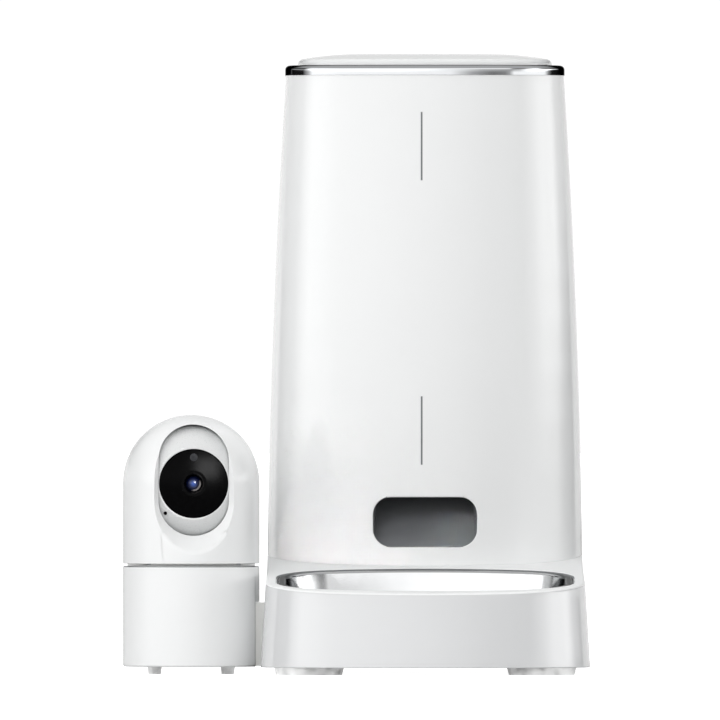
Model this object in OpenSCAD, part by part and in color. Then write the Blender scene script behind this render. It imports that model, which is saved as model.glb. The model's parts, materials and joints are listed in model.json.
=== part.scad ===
// Pet feeder with a sloped bowl tray, a grain tower and a docked pan and tilt camera.
// Millimetres, +Z up, the front faces -Y and the floor is z = 0.

/* [Overall] */
// Height of the feet under the feeder and the camera
foot_h = 4; // [3:0.5:5]
// Gap between the camera base and the feeder base at the floor
dock_gap = 0.6; // [0.4:0.1:3]
// Slope of the deck that carries the bowl and the tower, in degrees
deck_slope = 5.9; // [5:0.1:7]

/* [Base] */
// Length of the base from front to back
base_len = 300; // [296:1:312]
// Height of the front rim above the floor
rim_h = 43.6; // [43:0.2:50]
// Outward flare of the base wall from the deck to the floor
base_flare = 3.3; // [2.4:0.1:4.5]
// Wall thickness of the base shell
base_wall = 2.5; // [2:0.1:3]
// Thickness of the sloped deck
deck_t = 3; // [2.4:0.1:3.6]
// Corner radius of the base and the tower in plan
plan_r = 50.4; // [50:0.1:53]
// Bow of the front and back faces, as the bow radius less the corner radius
plan_bow = 120; // [118:0.5:126]
// Thickness of the plate that closes the base
plate_t = 2.5; // [2.2:0.1:3]
// Radius of the round feet
foot_r = 18.5; // [12:0.5:19]
// Distance of the front feet from the middle
foot_x = 61.5; // [50:0.5:63]
// Radius of the rear feet
rear_foot_r = 14; // [8:0.5:15]
// Radius of the screw posts in the base
post_r = 4.2; // [3.6:0.1:5]

/* [Bowl] */
// Length of the bowl opening along the slope
bowl_len = 110; // [90:1:114]
// Corner radius of the bowl opening
bowl_r = 36; // [32:0.5:42]
// Bow of the front and back edges of the bowl, as the bow radius less the corner radius
bowl_bow = 153.7; // [140:0.1:156]
// Depth of the bowl below the deck
bowl_depth = 32; // [24:0.5:33]
// Sheet thickness of the bowl
bowl_gauge = 0.8; // [0.6:0.1:1.2]
// Width of the ledge that carries the bowl flange
ledge_w = 4; // [3.5:0.1:4.5]
// Depth of the ledge below the deck
ledge_d = 1.6; // [1.4:0.1:3]
// Distance from the tower to the bowl opening
bowl_gap = 12; // [9:0.5:16]

/* [Tower] */
// Depth of the tower from front to back
tower_len = 160; // [154:1:164]
// Height of the top edge of the tower above the floor
tower_top = 318.3; // [300:0.1:340]
// Inward lean of the tower walls at the foot, as a slope
tower_lean = 0.0105; // [0.004:0.0005:0.016]
// Radius of the tall curve of the tower walls
tower_arc = 4800; // [4300:100:9000]
// Wall thickness of the tower
tower_wall = 2.5; // [2:0.1:3]
// Gap of the seam between the tower and the deck
seam = 0.2; // [0.1:0.1:0.6]
// Width of the food outlet
outlet_w = 55.3; // [44:0.1:60]
// Height of the food outlet
outlet_h = 26.6; // [20:0.1:30]
// Corner radius of the food outlet
outlet_r = 9.5; // [4:0.5:9.5]
// Height of the outlet sill above the floor
outlet_z = 67.3; // [66:0.1:72]

/* [Lid] */
// Height of the polished lid ring
ring_h = 5.3; // [4:0.1:8]
// Round on the top edge of the lid ring
ring_round = 2.4; // [1:0.1:3]
// Distance by which the lid ring stands proud of the tower
ring_proud = 0.4; // [0.2:0.1:0.8]
// Width of the lid ring
ring_w = 6.8; // [5:0.1:8]
// Height of the lid crown above the ring
crown_h = 6.1; // [4:0.1:10]
// Depth of the lid plug in the tower mouth
plug_d = 14; // [10:0.5:20]
// Outer radius of the desiccant cup
cup_r = 32; // [24:0.5:40]
// Depth of the desiccant cup
cup_d = 16; // [12:0.5:24]
// Turn of the desiccant cap from shut to open, in degrees
cap_turn = 40; // [20:1:50]

/* [Dispenser] */
// Distance from the back of the tower at its foot to the bore of the rotor housing
rotor_back = 11.5; // [9.5:0.5:14]
// Inner radius of the rotor housing
housing_r = 58.5; // [56:0.5:60]
// Height of the housing floor above the floor
housing_z = 130; // [128:0.5:140]
// Height of the housing ring above its floor
housing_h = 29; // [26:0.5:36]
// Number of rotor vanes
vanes = 6; // [4:1:8]
// Radius of the rotor shaft
shaft_r = 4; // [3:0.1:4.5]
// Rise of the funnel above the housing ring
funnel_h = 40; // [38:0.5:46]

/* [Drive] */
// Tooth module of the drive gears
gear_m = 1; // [0.9:0.02:1.04]
// Teeth on the drive gear
gear_teeth = 48; // [40:1:49]
// Teeth on the motor pinion
pinion_teeth = 16; // [14:1:18]
// Thickness of the drive gears
gear_t = 7; // [5:0.5:8]
// Radius of the gear motor
motor_r = 17; // [13:0.5:18]
// Length of the gear motor
motor_len = 26; // [18:0.5:26]

/* [Camera body] */
// Diameter of the camera
cam_d = 72.6; // [72:0.2:78]
// Distance of the camera axis in front of the middle
cam_front = 45; // [30:1:48]
// Height of the seam between the camera base and its head
cam_seam = 58; // [57.6:0.1:62]
// Height of the middle of the camera eye above the floor
eye_z = 101.2; // [100:0.2:112]
// Wall thickness of the camera shells
cam_wall = 2; // [1.8:0.1:2.2]
// Rest angle of the camera head, in degrees towards the feeder
pan_rest = 3.2; // [0:0.1:10]
// Height of the dock plate top above the floor
dock_top = 38; // [30:0.5:44]
// Distance of the dock flat from the camera axis
dock_flat = 34.2; // [34:0.1:34.8]

/* [Camera eye] */
// Radius of the eye ball
eye_r = 32.5; // [31.5:0.1:32.8]
// Half width of the eye between its flat sides
eye_hw = 24; // [22.5:0.1:24.4]
// Wall thickness of the eye shells
eye_wall = 2; // [1.6:0.1:2.4]
// Width of the window in the camera head
window_w = 37.3; // [34:0.1:38.5]
// Height of the window in the camera head
window_h = 59; // [54:0.5:60]
// Height of the middle of the window above the eye middle
window_up = 1.8; // [0:0.1:3]
// Outward spread of the window rim, as a slope
rim_spread = 0.95; // [0.6:0.05:1.1]
// Radius of the dark face cover
face_r = 18.35; // [17:0.05:18.6]
// Rise of the dark face cover at its middle
face_rise = 2.2; // [1:0.1:3]
// Radius of the lens barrel
lens_r = 6.85; // [5.5:0.05:8]
// Radius of the lens glass
glass_r = 4.35; // [3.5:0.05:4.6]
// Radius of the light sensor window
sensor_r = 2.05; // [1.5:0.05:2.4]
// Height of the light sensor above the lens
sensor_up = 13.9; // [12:0.1:14.2]

/* [Fits] */
// Clearance between pieces that are fitted loosely
fit = 0.3; // [0.2:0.05:0.4]
// Radial clearance of shafts and pins that turn
running = 0.05; // [0.03:0.01:0.08]
// Radial clearance of screws and pressed pieces
snug = 0.02; // [0.01:0.01:0.04]

/* [Hidden] */
$fn = 96;
over = 1;
lap = 0.5;
reach = 500;
sides = [-1, 1];
bow_s = 0.28;
bow_c = 0.96;
base_hw = plan_r + bow_s * plan_bow;
base_w = 2 * (base_hw + base_flare);
feeder_x = (cam_d + dock_gap) / 2;
camera_x = -(base_w + dock_gap) / 2;
camera_y = -cam_front;
base_hl = base_len / 2 - base_flare;
tower_y = base_hl - tower_len / 2;
tower_front = base_hl - tower_len;
function deck_z(y) = rim_h + (y + base_hl) * tan(deck_slope);
flare_top = deck_z(tower_front);
base_top = deck_z(base_hl) + 6;
base_plan = [plan_r, plan_bow, base_hl];
tower_plan = [plan_r, plan_bow, tower_len / 2];
plate_top = foot_h + plate_t;
collar_h = 5;
collar_t = 2.2;
collar_in = tower_wall + 0.8;

bowl_plan = [bowl_r, bowl_bow, bowl_len / 2];
bowl_y = tower_front - bowl_gap - bowl_len / 2 * cos(deck_slope);
tub_wall = 2;
pocket_d = bowl_depth + 1.2;
flange_gap = 0.5;
bowl_in = ledge_w + 1.2;
bowl_draft = 4;
bowl_seat = 0.2;
bowl_bend = 1.8;
bowl_shoulder = 1.4;
bowl_fillet = 12;

board_w = 76;
board_len = 26;
board_t = 1.6;
board_z = 14;
board_y = base_hl - 22;
board_clear = 15;
chip = [16, 14, 3];
chip_x = -18;
switch_w = 7;
switch_d = 6;
capacitor = [10, -9, 4, 11];
batt_w = 106;
batt_len = 70;
batt_h = 36;
cell_r = 16.3;
cell_len = 61;
cell_pitch = 34.5;
door_tab = 13;
box_wall = 2;
batt_y = board_y - board_len / 2 - board_clear - box_wall - batt_len / 2;
door_w = batt_w + 4;
door_front = batt_y - batt_len / 2 - door_tab;
door_back = batt_y + batt_len / 2;
post_front = 24;
post_back = 62;
post_x = base_hw - base_wall - post_r - 6;
posts = [[post_x, tower_front + post_front], [-post_x, tower_front + post_front],
         [post_x, base_hl - post_back], [-post_x, base_hl - post_back],
         [0, door_front + door_tab / 2]];
screw_r = 1.6;
head_r = 3.2;
head_t = 1.4;
screw_len = 15;
foot_y = -(base_hl - 46.7);
rear_foot_x = base_hw - 24;
rear_foot_y = base_hl - 30.7;
foot_taper = 1.2;
feet = [[foot_x, foot_y, foot_r], [-foot_x, foot_y, foot_r],
        [rear_foot_x, rear_foot_y, rear_foot_r], [-rear_foot_x, rear_foot_y, rear_foot_r]];

port_x = -24;
port_w = 9.2;
port_h = 3.4;
port_z = board_z + board_t;
button_x = 24;
button_r = 6;
button_z = 21.8;
button_play = 0.25;
flange_r = 7.4;
flange_t = 1.8;
function base_out(z) = max(0, base_flare * (flare_top - z) / (flare_top - foot_h));
function base_back(x, z) = let (r = plan_r + plan_bow) base_hl - r + sqrt(pow(r + base_out(z), 2) - x * x);
button_seat = base_back(button_x + flange_r, button_z + flange_r) - base_wall - fit;
button_face = base_back(button_x, button_z) + 1.2;
switch_face = button_seat - flange_t - 1.3;
port_face = base_back(port_x, port_z) - 0.8;

function tower_in(z) = let (t = max(0, z - flare_top)) tower_lean * t + t * t / (2 * tower_arc);
mouth_in = tower_in(tower_top) + tower_wall;
lid_z = tower_top + seam;
ring_out = -tower_in(tower_top) + ring_proud;
ring_in = ring_out - ring_w;
ring_top = lid_z + ring_h;
lid_top = ring_top + crown_h;
crown_edge = 3;
lid_t = 2.4;
liner_t = 3.5;
plug_gap = 0.4;
seal_t = 0.7;
seal_h = 4;
plug_in = mouth_in + plug_gap + seal_t;
plug_t = 2.4;
liner_z = lid_z - liner_t;
cup_wall = 2;
cup_z = liner_z - cup_d;
cap_t = 2;
cap_wall = 1.8;
cap_skirt = 5;
lug_t = 1.4;
lug_h = 2;
lug_angle = 14;

rotor_y = tower_y + tower_len / 2 - rotor_back - housing_r;
floor_t = 3;
housing_top = housing_z + floor_t + housing_h;
housing_wall = 2.5;
ledge_t = 3;
ledge_in = 3;
drop_in = 18;
drop_out = 54;
drop_angle = 48;
vane_t = 2.4;
vane_r = housing_r - 8.5;
vane_h = housing_h - 7;
rotor_z = housing_z + floor_t + fit;
hub_r = 11;
wiper_t = 1.6;
wiper_r = housing_r - 0.6;
wiper_in = vane_r - 12;
guard_z = rotor_z + vane_h + 2.2;
guard_t = 2;
guard_angle = 76;
bush_r = 6;
bush_flange_r = 8.5;
bush_flange_t = 3;
stir_z = rotor_z + vane_h + 1;
stir_h = 15;
stir_r = 8;
stir_arm_r = 2.4;
stir_arm = 38;
funnel_t = 2.2;
funnel_sides = 12;
chute_t = 2.2;
chute_narrow = 6;
chute_mouth = tower_front + tower_wall + 3;

gear_x = (gear_teeth + pinion_teeth) * gear_m / 2;
pinion_y = rotor_y + gear_x;
gear_z = housing_z - 22;
bracket_t = 3;
bracket_z = gear_z - 3 - bracket_t;
bracket_r = 4;
bracket_posts = [[33, rotor_y - 4], [-33, rotor_y - 4], [22, pinion_y + 20], [-22, pinion_y + 20]];
shaft_low = bracket_z - 2;
motor_shaft_r = 3;
motor_flange_r = motor_r + 4;
motor_flange_t = 2;
motor_screw_x = motor_r + 1.9;

cam_r = cam_d / 2;
cam_in = cam_r - cam_wall;
cam_base_top = cam_seam - 0.7;
cam_head_z = cam_seam + 0.7;
cam_deck_t = 2.5;
cam_pad = 3.2;
cam_pad_hw = sqrt(cam_r * cam_r - dock_flat * dock_flat) + 1.5;
dock_hw = 11.4;
dock_z = foot_h + 0.4;
dock_screws_z = [14, 29];
cam_plate_r = cam_in - fit;
cam_foot_r = 3.8;
cam_foot_taper = 0.6;
cam_foot_x = 19.4;
cam_feet = [for (x = [-cam_foot_x, cam_foot_x], y = [-14.1, 20.4]) [x, y]];
cam_post_angles = [30, 150, 270];
cam_post_at = 28.4;
cam_post_r = 3;
cam_screw_r = 1.3;
cam_head_r = 2.5;
cam_board_r = 24.5;
cam_board_z = 12;
pan_r = 14;
pan_len = 22;
pan_flange_r = 18;
pan_flange_t = 2.4;
pan_shaft_r = 2.5;
pan_hub_r = 7.5;
hub_play = 0.5;
turntable_z = cam_base_top + 0.8;
turntable_t = 2.5;
turntable_r = cam_in - 0.4;
rib_w = 4;
rib_r = turntable_r - rib_w;
speaker_r = 11;
speaker_t = 5;
speaker_z = 36;
grille_r = 0.9;
cam_port_z = cam_board_z + board_t;
cam_port_face = cam_r - 0.9;
reset_x = 12;
reset_r = 1.7;
reset_z = 19.4;
reset_flange = 1.3;
reset_seat = sqrt(pow(cam_in, 2) - pow(reset_x + reset_r + reset_flange, 2)) - fit;
reset_face = sqrt(cam_r * cam_r - reset_x * reset_x) + 0.5;
arm_in = eye_hw + 0.6;
arm_t = 4;
arm_hw = 9;
tilt_r = 2;
pin_boss_r = 4.4;
pin_boss = 5;
tilt_motor_r = 8;
tilt_motor_len = 15;
shell_boss = 9;
shell_boss_at = cam_in - 2.2;
shell_boss_r = 3;
head_screw_r = 1.2;
head_screw_head = 2.2;
boss_angles = [45, 135, 225, 315];

face_rim = 0.75;
face_y = -sqrt(eye_r * eye_r - pow(face_r + face_rim, 2));
face_t = 2.4;
face_sphere = (face_r * face_r + face_rise * face_rise) / (2 * face_rise);
lens_front = face_y - face_rise - 0.3;
lens_back = -12;
glass_z = 1.6;
glass_back = lens_front + 5;
glass_sphere = (glass_r * glass_r + glass_z * glass_z) / (2 * glass_z);
mic_r = 1;
mic_at = [-14.9, -15.7];
mic_back = -20;
imager_w = 26;
window_r = window_w / 2;
window_leg = window_h / 2 - window_r;
rim_y = -27;
lip_t = 1.8;
ball_gap = 0.6;

white = [0.93, 0.93, 0.92];
grey = [0.45, 0.46, 0.47];
dark = [0.12, 0.12, 0.13];
steel = [0.75, 0.76, 0.78];
green = [0.1, 0.35, 0.2];
clear = [0.8, 0.9, 0.95];

// Points of an arc round c.
function arc_pts(c, r, from, to, n) =
  [for (i = [0:n]) let (a = from + (to - from) * i / n) [c[0] + r * cos(a), c[1] + r * sin(a)]];

function reversed(v) = [for (i = [len(v) - 1:-1:0]) v[i]];

// Plan outlines are [corner radius, bow, half length]: a bowed end turns by the angle whose sine and
// cosine are bow_s and bow_c, so that corner and bow meet on one plane through both their centres.
function plan_cx(p) = bow_s * p[1];
function plan_hw(p) = p[0] + plan_cx(p);
function plan_cy(p) = p[2] - p[0] - (1 - bow_c) * p[1];

// The half of space to one side of that plane.
module bow_side(p, side)
  multmatrix([[bow_c, bow_s, 0, plan_cx(p)], [-bow_s, bow_c, 0, plan_cy(p)], [0, 0, 1, 0], [0, 0, 0, 1]])
    translate([side < 0 ? -reach : 0, -reach, -reach]) cube([reach, 2 * reach, 2 * reach]);

// Carries a 2-D section, x outwards from the outline and y up, round a quarter of a plan outline.
module plan_quarter(p) {
  translate([plan_hw(p), plan_cy(p), 0])
    rotate([90, 0, 0])
      linear_extrude(height = plan_cy(p)) children();
  intersection() {
    translate([plan_cx(p), plan_cy(p), 0])
      rotate_extrude(angle = 90)
        translate([p[0], 0]) children();
    bow_side(p, 1);
  }
  intersection() {
    translate([0, plan_cy(p) - bow_c * p[1], 0])
      multmatrix([[0, 1, 0, 0], [1, 0, 0, 0], [0, 0, 1, 0], [0, 0, 0, 1]])
        rotate_extrude(angle = 30)
          translate([p[0] + p[1], 0]) children();
    bow_side(p, -1);
  }
}

module plan_sweep(p) {
  plan_quarter(p) children();
  mirror([1, 0, 0]) plan_quarter(p) children();
  mirror([0, 1, 0]) plan_quarter(p) children();
  mirror([1, 0, 0]) mirror([0, 1, 0]) plan_quarter(p) children();
}

// Fills the middle that a section reaching in by the corner radius leaves open.
module plan_core(p, low, high) {
  shift = plan_cy(p) - bow_c * p[1];
  translate([0, 0, low])
    linear_extrude(height = high - low)
      intersection() {
        square([2 * plan_cx(p), 4 * p[2]], center = true);
        translate([0, shift]) circle(r = p[1] + over, $fn = 256);
        translate([0, -shift]) circle(r = p[1] + over, $fn = 256);
      }
}

module at_feeder() translate([feeder_x, 0, 0]) children();
module at_tower() at_feeder() translate([0, tower_y, 0]) children();
module at_rotor() at_feeder() translate([0, rotor_y, 0]) children();
module at_pinion() at_feeder() translate([0, pinion_y, 0]) children();
module at_camera() translate([camera_x, camera_y, 0]) children();
module at_head() at_camera() rotate([0, 0, pan_rest]) children();
module at_eye() at_head() translate([0, 0, eye_z]) children();
module on_deck() at_feeder() translate([0, bowl_y, deck_z(bowl_y)]) rotate([deck_slope, 0, 0]) children();

// A pin along Y from one y to another, and one along X.
module y_pin(r, from, to, r2 = 0)
  translate([0, from, 0]) rotate([-90, 0, 0]) cylinder(h = to - from, r1 = r, r2 = r2 > 0 ? r2 : r);
module x_pin(r, from, to) translate([from, 0, 0]) rotate([0, 90, 0]) cylinder(h = to - from, r = r);
module z_pin(r, from, to) translate([0, 0, from]) cylinder(h = to - from, r = r);

module slab(low, high, size)
  translate([-size, -size, low]) cube([2 * size, 2 * size, high - low]);

// A rectangle with round corners, as points.
function round_pts(w, h, r, n = 8) = concat(
  arc_pts([w / 2 - r, h / 2 - r], r, 0, 90, n), arc_pts([r - w / 2, h / 2 - r], r, 90, 180, n),
  arc_pts([r - w / 2, r - h / 2], r, 180, 270, n), arc_pts([w / 2 - r, r - h / 2], r, 270, 360, n));

// A slab between two planes that lie along the deck.
module deck_slab(low, high)
  at_feeder() translate([0, -base_hl, rim_h]) rotate([deck_slope, 0, 0])
    translate([-base_w, -base_len / 2, low]) cube([2 * base_w, 2 * base_len, high - low]);

// The base outline filled between two heights.
module base_block(inset, low, high) {
  foot_o = base_flare * (flare_top - low) / (flare_top - foot_h);
  knee = min(flare_top, high);
  knee_o = base_flare * (flare_top - knee) / (flare_top - foot_h);
  top_pts = high > flare_top ? [[-inset, high]] : [];
  at_feeder() {
    plan_sweep(base_plan)
      polygon(concat([[-plan_r, low], [foot_o - inset, low], [knee_o - inset, knee]], top_pts,
        [[-plan_r, high]]));
    plan_core(base_plan, low, high);
  }
}

function tower_pts(low, high, inset, n) =
  [for (i = [0:n]) let (z = low + (high - low) * i / n) [-tower_in(z) - inset, z]];

// The tower wall, and the tower outline filled, between two heights.
module tower_wall_ring(low, high, inset, thick, n)
  at_tower() plan_sweep(tower_plan)
    polygon(concat(tower_pts(low, high, inset, n), reversed(tower_pts(low, high, inset + thick, n))));
module tower_block(low, high, inset, n)
  at_tower() {
    plan_sweep(tower_plan)
      polygon(concat(tower_pts(low, high, inset, n), [[-plan_r, high], [-plan_r, low]]));
    plan_core(tower_plan, low, high);
  }

// The well that takes the bowl: its outside and the space in it.
module well_tub() {
  low = -pocket_d - tub_wall;
  step = -ledge_d - tub_wall;
  on_deck() {
    plan_sweep(bowl_plan)
      polygon([[-bowl_r, low], [tub_wall - ledge_w, low], [tub_wall - ledge_w, step],
        [tub_wall, step], [tub_wall, 0], [-bowl_r, 0]]);
    plan_core(bowl_plan, low, 0);
  }
}
module well_space()
  on_deck() {
    plan_sweep(bowl_plan)
      polygon([[-bowl_r, -pocket_d], [-ledge_w, -pocket_d], [-ledge_w, -ledge_d], [0, -ledge_d],
        [0, over], [-bowl_r, over]]);
    plan_core(bowl_plan, -pocket_d, over);
  }

module base_holes() {
  at_feeder() {
    for (p = posts)
      translate([p[0], p[1], 0]) z_pin(screw_r + snug, foot_h, plate_top + screw_len + over);
    translate([port_x, base_hl - base_wall - 6, port_z + port_h / 2])
      rotate([-90, 0, 0])
        linear_extrude(height = 20)
          polygon(round_pts(port_w + 2 * fit, port_h + 2 * fit, port_h / 2));
    translate([button_x, 0, button_z]) y_pin(button_r + button_play, base_hl - 12, base_hl + 12);
    for (z = dock_screws_z)
      translate([0, camera_y, z]) x_pin(screw_r + snug, -base_w, -base_hw + 8);
  }
}

module base_shell()
  color(white)
    difference() {
      union() {
        intersection() {
          base_block(0, foot_h, base_top);
          deck_slab(-base_len, 0);
        }
        intersection() {
          tower_wall_ring(flare_top - deck_t, base_top + 6, collar_in, collar_t, 1);
          deck_slab(-deck_t / 2, collar_h);
        }
      }
      difference() {
        intersection() {
          base_block(base_wall, foot_h - over, base_top);
          deck_slab(-base_len, -deck_t);
        }
        well_tub();
        at_feeder()
          for (p = posts)
            translate([p[0], p[1], 0]) z_pin(post_r, plate_top, base_top);
      }
      well_space();
      base_holes();
    }

module screw_hole(r, hr, ht, low) {
  z_pin(r + snug, low - over, low + plate_t + over);
  z_pin(hr + fit, low - over, low + ht);
}

module base_plate()
  color(grey)
    difference() {
      union() {
        base_block(base_wall + fit, foot_h, plate_top);
        at_feeder()
          for (sx = sides, sy = sides)
            translate([sx * (board_w / 2 - 5), board_y + sy * (board_len / 2 - 4), 0])
              z_pin(3, plate_top, board_z);
      }
      at_feeder() {
        translate([-door_w / 2, door_front, foot_h - over])
          cube([door_w, door_back - door_front, plate_t + 2 * over]);
        for (p = posts)
          translate([p[0], p[1], 0]) screw_hole(screw_r, head_r, head_t, foot_h);
      }
    }

module battery_door()
  color(grey)
    at_feeder()
      difference() {
        translate([fit - door_w / 2, door_front + fit, foot_h])
          cube([door_w - 2 * fit, door_back - door_front - 2 * fit, plate_t]);
        translate([posts[4][0], posts[4][1], 0]) screw_hole(screw_r, head_r, head_t, foot_h);
      }

module battery_box()
  color(dark)
    at_feeder()
      translate([0, batt_y, plate_top])
        difference() {
          translate([-batt_w / 2 - 2 - box_wall, -batt_len / 2 - box_wall, 0])
            cube([batt_w + 4 + 2 * box_wall, batt_len + 2 * box_wall, batt_h + box_wall]);
          translate([-batt_w / 2, -batt_len / 2, -over]) cube([batt_w, batt_len, batt_h + over]);
        }

module battery_cells()
  color(steel)
    at_feeder()
      for (i = [-1:1])
        translate([i * cell_pitch, batt_y, plate_top + fit + cell_r]) {
          y_pin(cell_r, -cell_len / 2, cell_len / 2);
          y_pin(4.5, -batt_len / 2, -cell_len / 2);
          y_pin(6, cell_len / 2, batt_len / 2);
        }

module base_feet()
  color(dark)
    at_feeder()
      for (f = feet)
        translate([f[0], f[1], 0]) cylinder(h = foot_h, r1 = f[2] - foot_taper, r2 = f[2]);

module up_screw(r, hr, ht, length, low) {
  z_pin(hr, low + fit, low + ht);
  z_pin(r, low + ht, low + length);
}

module base_screws()
  color(steel)
    at_feeder()
      for (p = posts)
        translate([p[0], p[1], 0]) up_screw(screw_r, head_r, head_t, plate_t + screw_len, foot_h);

module main_board()
  color(green)
    at_feeder() {
      translate([-board_w / 2, board_y - board_len / 2, board_z]) cube([board_w, board_len, board_t]);
      translate([chip_x, board_y - chip[1] / 2 - 1, board_z + board_t]) cube(chip);
      translate([button_x - switch_w / 2, switch_face - switch_d, board_z + board_t])
        cube([switch_w, switch_d, button_z - board_z - board_t + switch_w / 2]);
      translate([capacitor[0], board_y + capacitor[1], board_z + board_t]) z_pin(capacitor[2], 0, capacitor[3]);
    }

module power_socket()
  color(steel)
    at_feeder()
      translate([port_x, 0, port_z + port_h / 2])
        difference() {
          translate([0, board_y + board_len / 2 - 4, 0])
            rotate([-90, 0, 0])
              linear_extrude(height = port_face - board_y - board_len / 2 + 4)
                polygon(round_pts(port_w, port_h, port_h / 2 - 0.1));
          translate([0, port_face - 6, 0])
            rotate([-90, 0, 0])
              linear_extrude(height = 6 + over)
                difference() {
                  polygon(round_pts(port_w - 0.8, port_h - 0.8, port_h / 2 - 0.5));
                  square([port_w - 2.6, 0.7], center = true);
                }
        }

module feed_button()
  color(grey)
    at_feeder()
      translate([button_x, 0, button_z])
        difference() {
          union() {
            y_pin(flange_r, button_seat - flange_t, button_seat);
            y_pin(button_r, button_seat - lap, button_face - 0.6);
            y_pin(button_r - 0.6, button_seat, button_face);
          }
          y_pin(button_r - 1.6, button_seat - flange_t - over, button_seat - flange_t + 0.8);
        }

// Half section of the bowl: flange, drafted wall, round foot and floor.
bowl_wall_z = -bowl_depth + bowl_fillet;
bowl_foot_o = -bowl_in - bowl_draft;
flange_z = bowl_seat - ledge_d;
bowl_turn = [bowl_shoulder - bowl_in, flange_z + bowl_gauge - bowl_bend];
bowl_face = concat(
  [[-flange_gap, flange_z], [-flange_gap, flange_z + bowl_gauge]],
  arc_pts(bowl_turn, bowl_bend, 90, 168, 4),
  arc_pts([bowl_foot_o - bowl_fillet, bowl_wall_z], bowl_fillet, -8, -90, 8),
  [[-bowl_r, -bowl_depth]]);
bowl_under = concat(
  [[-bowl_r, -bowl_depth - bowl_gauge]],
  arc_pts([bowl_foot_o - bowl_fillet, bowl_wall_z], bowl_fillet + bowl_gauge, -90, -8, 8),
  arc_pts(bowl_turn, bowl_bend - bowl_gauge, 168, 90, 4));

module steel_bowl()
  color(steel)
    on_deck() {
      plan_sweep(bowl_plan) polygon(concat(bowl_face, bowl_under));
      plan_core(bowl_plan, -bowl_depth - bowl_gauge, -bowl_depth);
    }

module outlet_prism(grow)
  at_feeder()
    translate([0, tower_front - 10, outlet_z + outlet_h / 2])
      rotate([-90, 0, 0])
        linear_extrude(height = 40)
          polygon(round_pts(outlet_w + 2 * grow, outlet_h + 2 * grow, outlet_r + grow));

module tower_shell()
  color(white)
    difference() {
      union() {
        tower_wall_ring(flare_top - 4, tower_top, 0, tower_wall, 10);
        tower_wall_ring(housing_z + floor_t, housing_z + floor_t + ledge_t, tower_wall - 0.5, ledge_in + 0.5, 1);
      }
      deck_slab(-base_len, seam);
      outlet_prism(0);
    }

module rotor_housing()
  color(white)
    difference() {
      union() {
        tower_block(housing_z, housing_z + floor_t, tower_wall + fit, 1);
        at_rotor()
          difference() {
            z_pin(housing_r + housing_wall, housing_z, housing_top);
            z_pin(housing_r, housing_z + floor_t, housing_top + over);
          }
      }
      at_rotor() {
        z_pin(bush_r + snug, housing_z - over, housing_z + floor_t + over);
        translate([0, 0, housing_z - over])
          rotate([0, 0, 270 - drop_angle / 2])
            rotate_extrude(angle = drop_angle)
              translate([drop_in, 0]) square([drop_out - drop_in, floor_t + 2 * over]);
      }
    }

module hopper_funnel() {
  corner = 1 / cos(180 / funnel_sides);
  out_r = housing_r + 1.4 * funnel_t;
  color(white)
    intersection() {
      tower_block(housing_top, housing_top + funnel_h, tower_wall + fit, 1);
      at_rotor()
        translate([0, 0, housing_top])
          rotate([0, 0, 180 / funnel_sides])
            difference() {
              cylinder(h = funnel_h, r1 = corner * out_r, r2 = corner * (out_r + funnel_h), $fn = funnel_sides);
              translate([0, 0, -over])
                cylinder(h = funnel_h + 2 * over, r1 = corner * (housing_r - over),
                  r2 = corner * (housing_r + funnel_h + over), $fn = funnel_sides);
            }
    }
}

// The chute runs from a slot under the rotor to a level spout at the outlet.
module chute_run(grow) {
  slot_w = outlet_w - 2 * chute_narrow;
  spout = chute_mouth - tower_front + over;
  at_feeder()
    translate([-outlet_w / 2 - grow, tower_front - over, outlet_z - grow])
      cube([outlet_w + 2 * grow, spout + lap, outlet_h + 2 * grow]);
  hull() {
    at_feeder()
      translate([-outlet_w / 2 - grow, chute_mouth, outlet_z - grow])
        cube([outlet_w + 2 * grow, 0.02, outlet_h + 2 * grow]);
    at_rotor()
      translate([-slot_w / 2 - grow, -drop_out - grow, housing_z - 0.02])
        cube([slot_w + 2 * grow, drop_out - drop_in + 2 * grow, 0.02]);
  }
}

module outlet_chute()
  color(dark)
    difference() {
      intersection() {
        chute_run(chute_t);
        tower_block(flare_top + 1, housing_z, tower_wall + fit, 1);
      }
      difference() {
        chute_run(0);
        slab(housing_z - 0.02, housing_z + over, base_len);
      }
      at_rotor()
        translate([0, 0, housing_z - over])
          rotate([0, 0, 270 - drop_angle / 2])
            rotate_extrude(angle = drop_angle)
              translate([drop_in, 0]) square([drop_out - drop_in, 2 * over]);
    }

module portion_guard()
  color(grey)
    at_rotor()
      rotate([0, 0, 270 - guard_angle / 2])
        rotate_extrude(angle = guard_angle)
          polygon([[hub_r + 2, guard_z], [housing_r - fit, guard_z], [housing_r - fit, housing_top - fit],
            [housing_r - fit - guard_t, housing_top - fit], [housing_r - fit - guard_t, guard_z + guard_t],
            [hub_r + 2, guard_z + guard_t]]);

module feed_rotor()
  color(grey)
    at_rotor()
      difference() {
        union() {
          z_pin(hub_r, rotor_z, rotor_z + vane_h + 1);
          for (i = [0:vanes - 1])
            rotate([0, 0, 270 + (i + 0.5) * 360 / vanes])
              translate([0, -vane_t / 2, rotor_z + 1]) cube([vane_r, vane_t, vane_h - 1]);
        }
        z_pin(shaft_r + snug, rotor_z - over, rotor_z + vane_h + 1 + over);
      }

module rotor_wipers()
  color(dark)
    at_rotor()
      for (i = [0:vanes - 1])
        rotate([0, 0, 270 + (i + 0.5) * 360 / vanes])
          translate([wiper_in, vane_t / 2, rotor_z + 1]) cube([wiper_r - wiper_in - 0.4, wiper_t, vane_h - 1]);

module rotor_shaft()
  color(steel)
    at_rotor() z_pin(shaft_r, shaft_low, stir_z + stir_h - 5);

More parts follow.
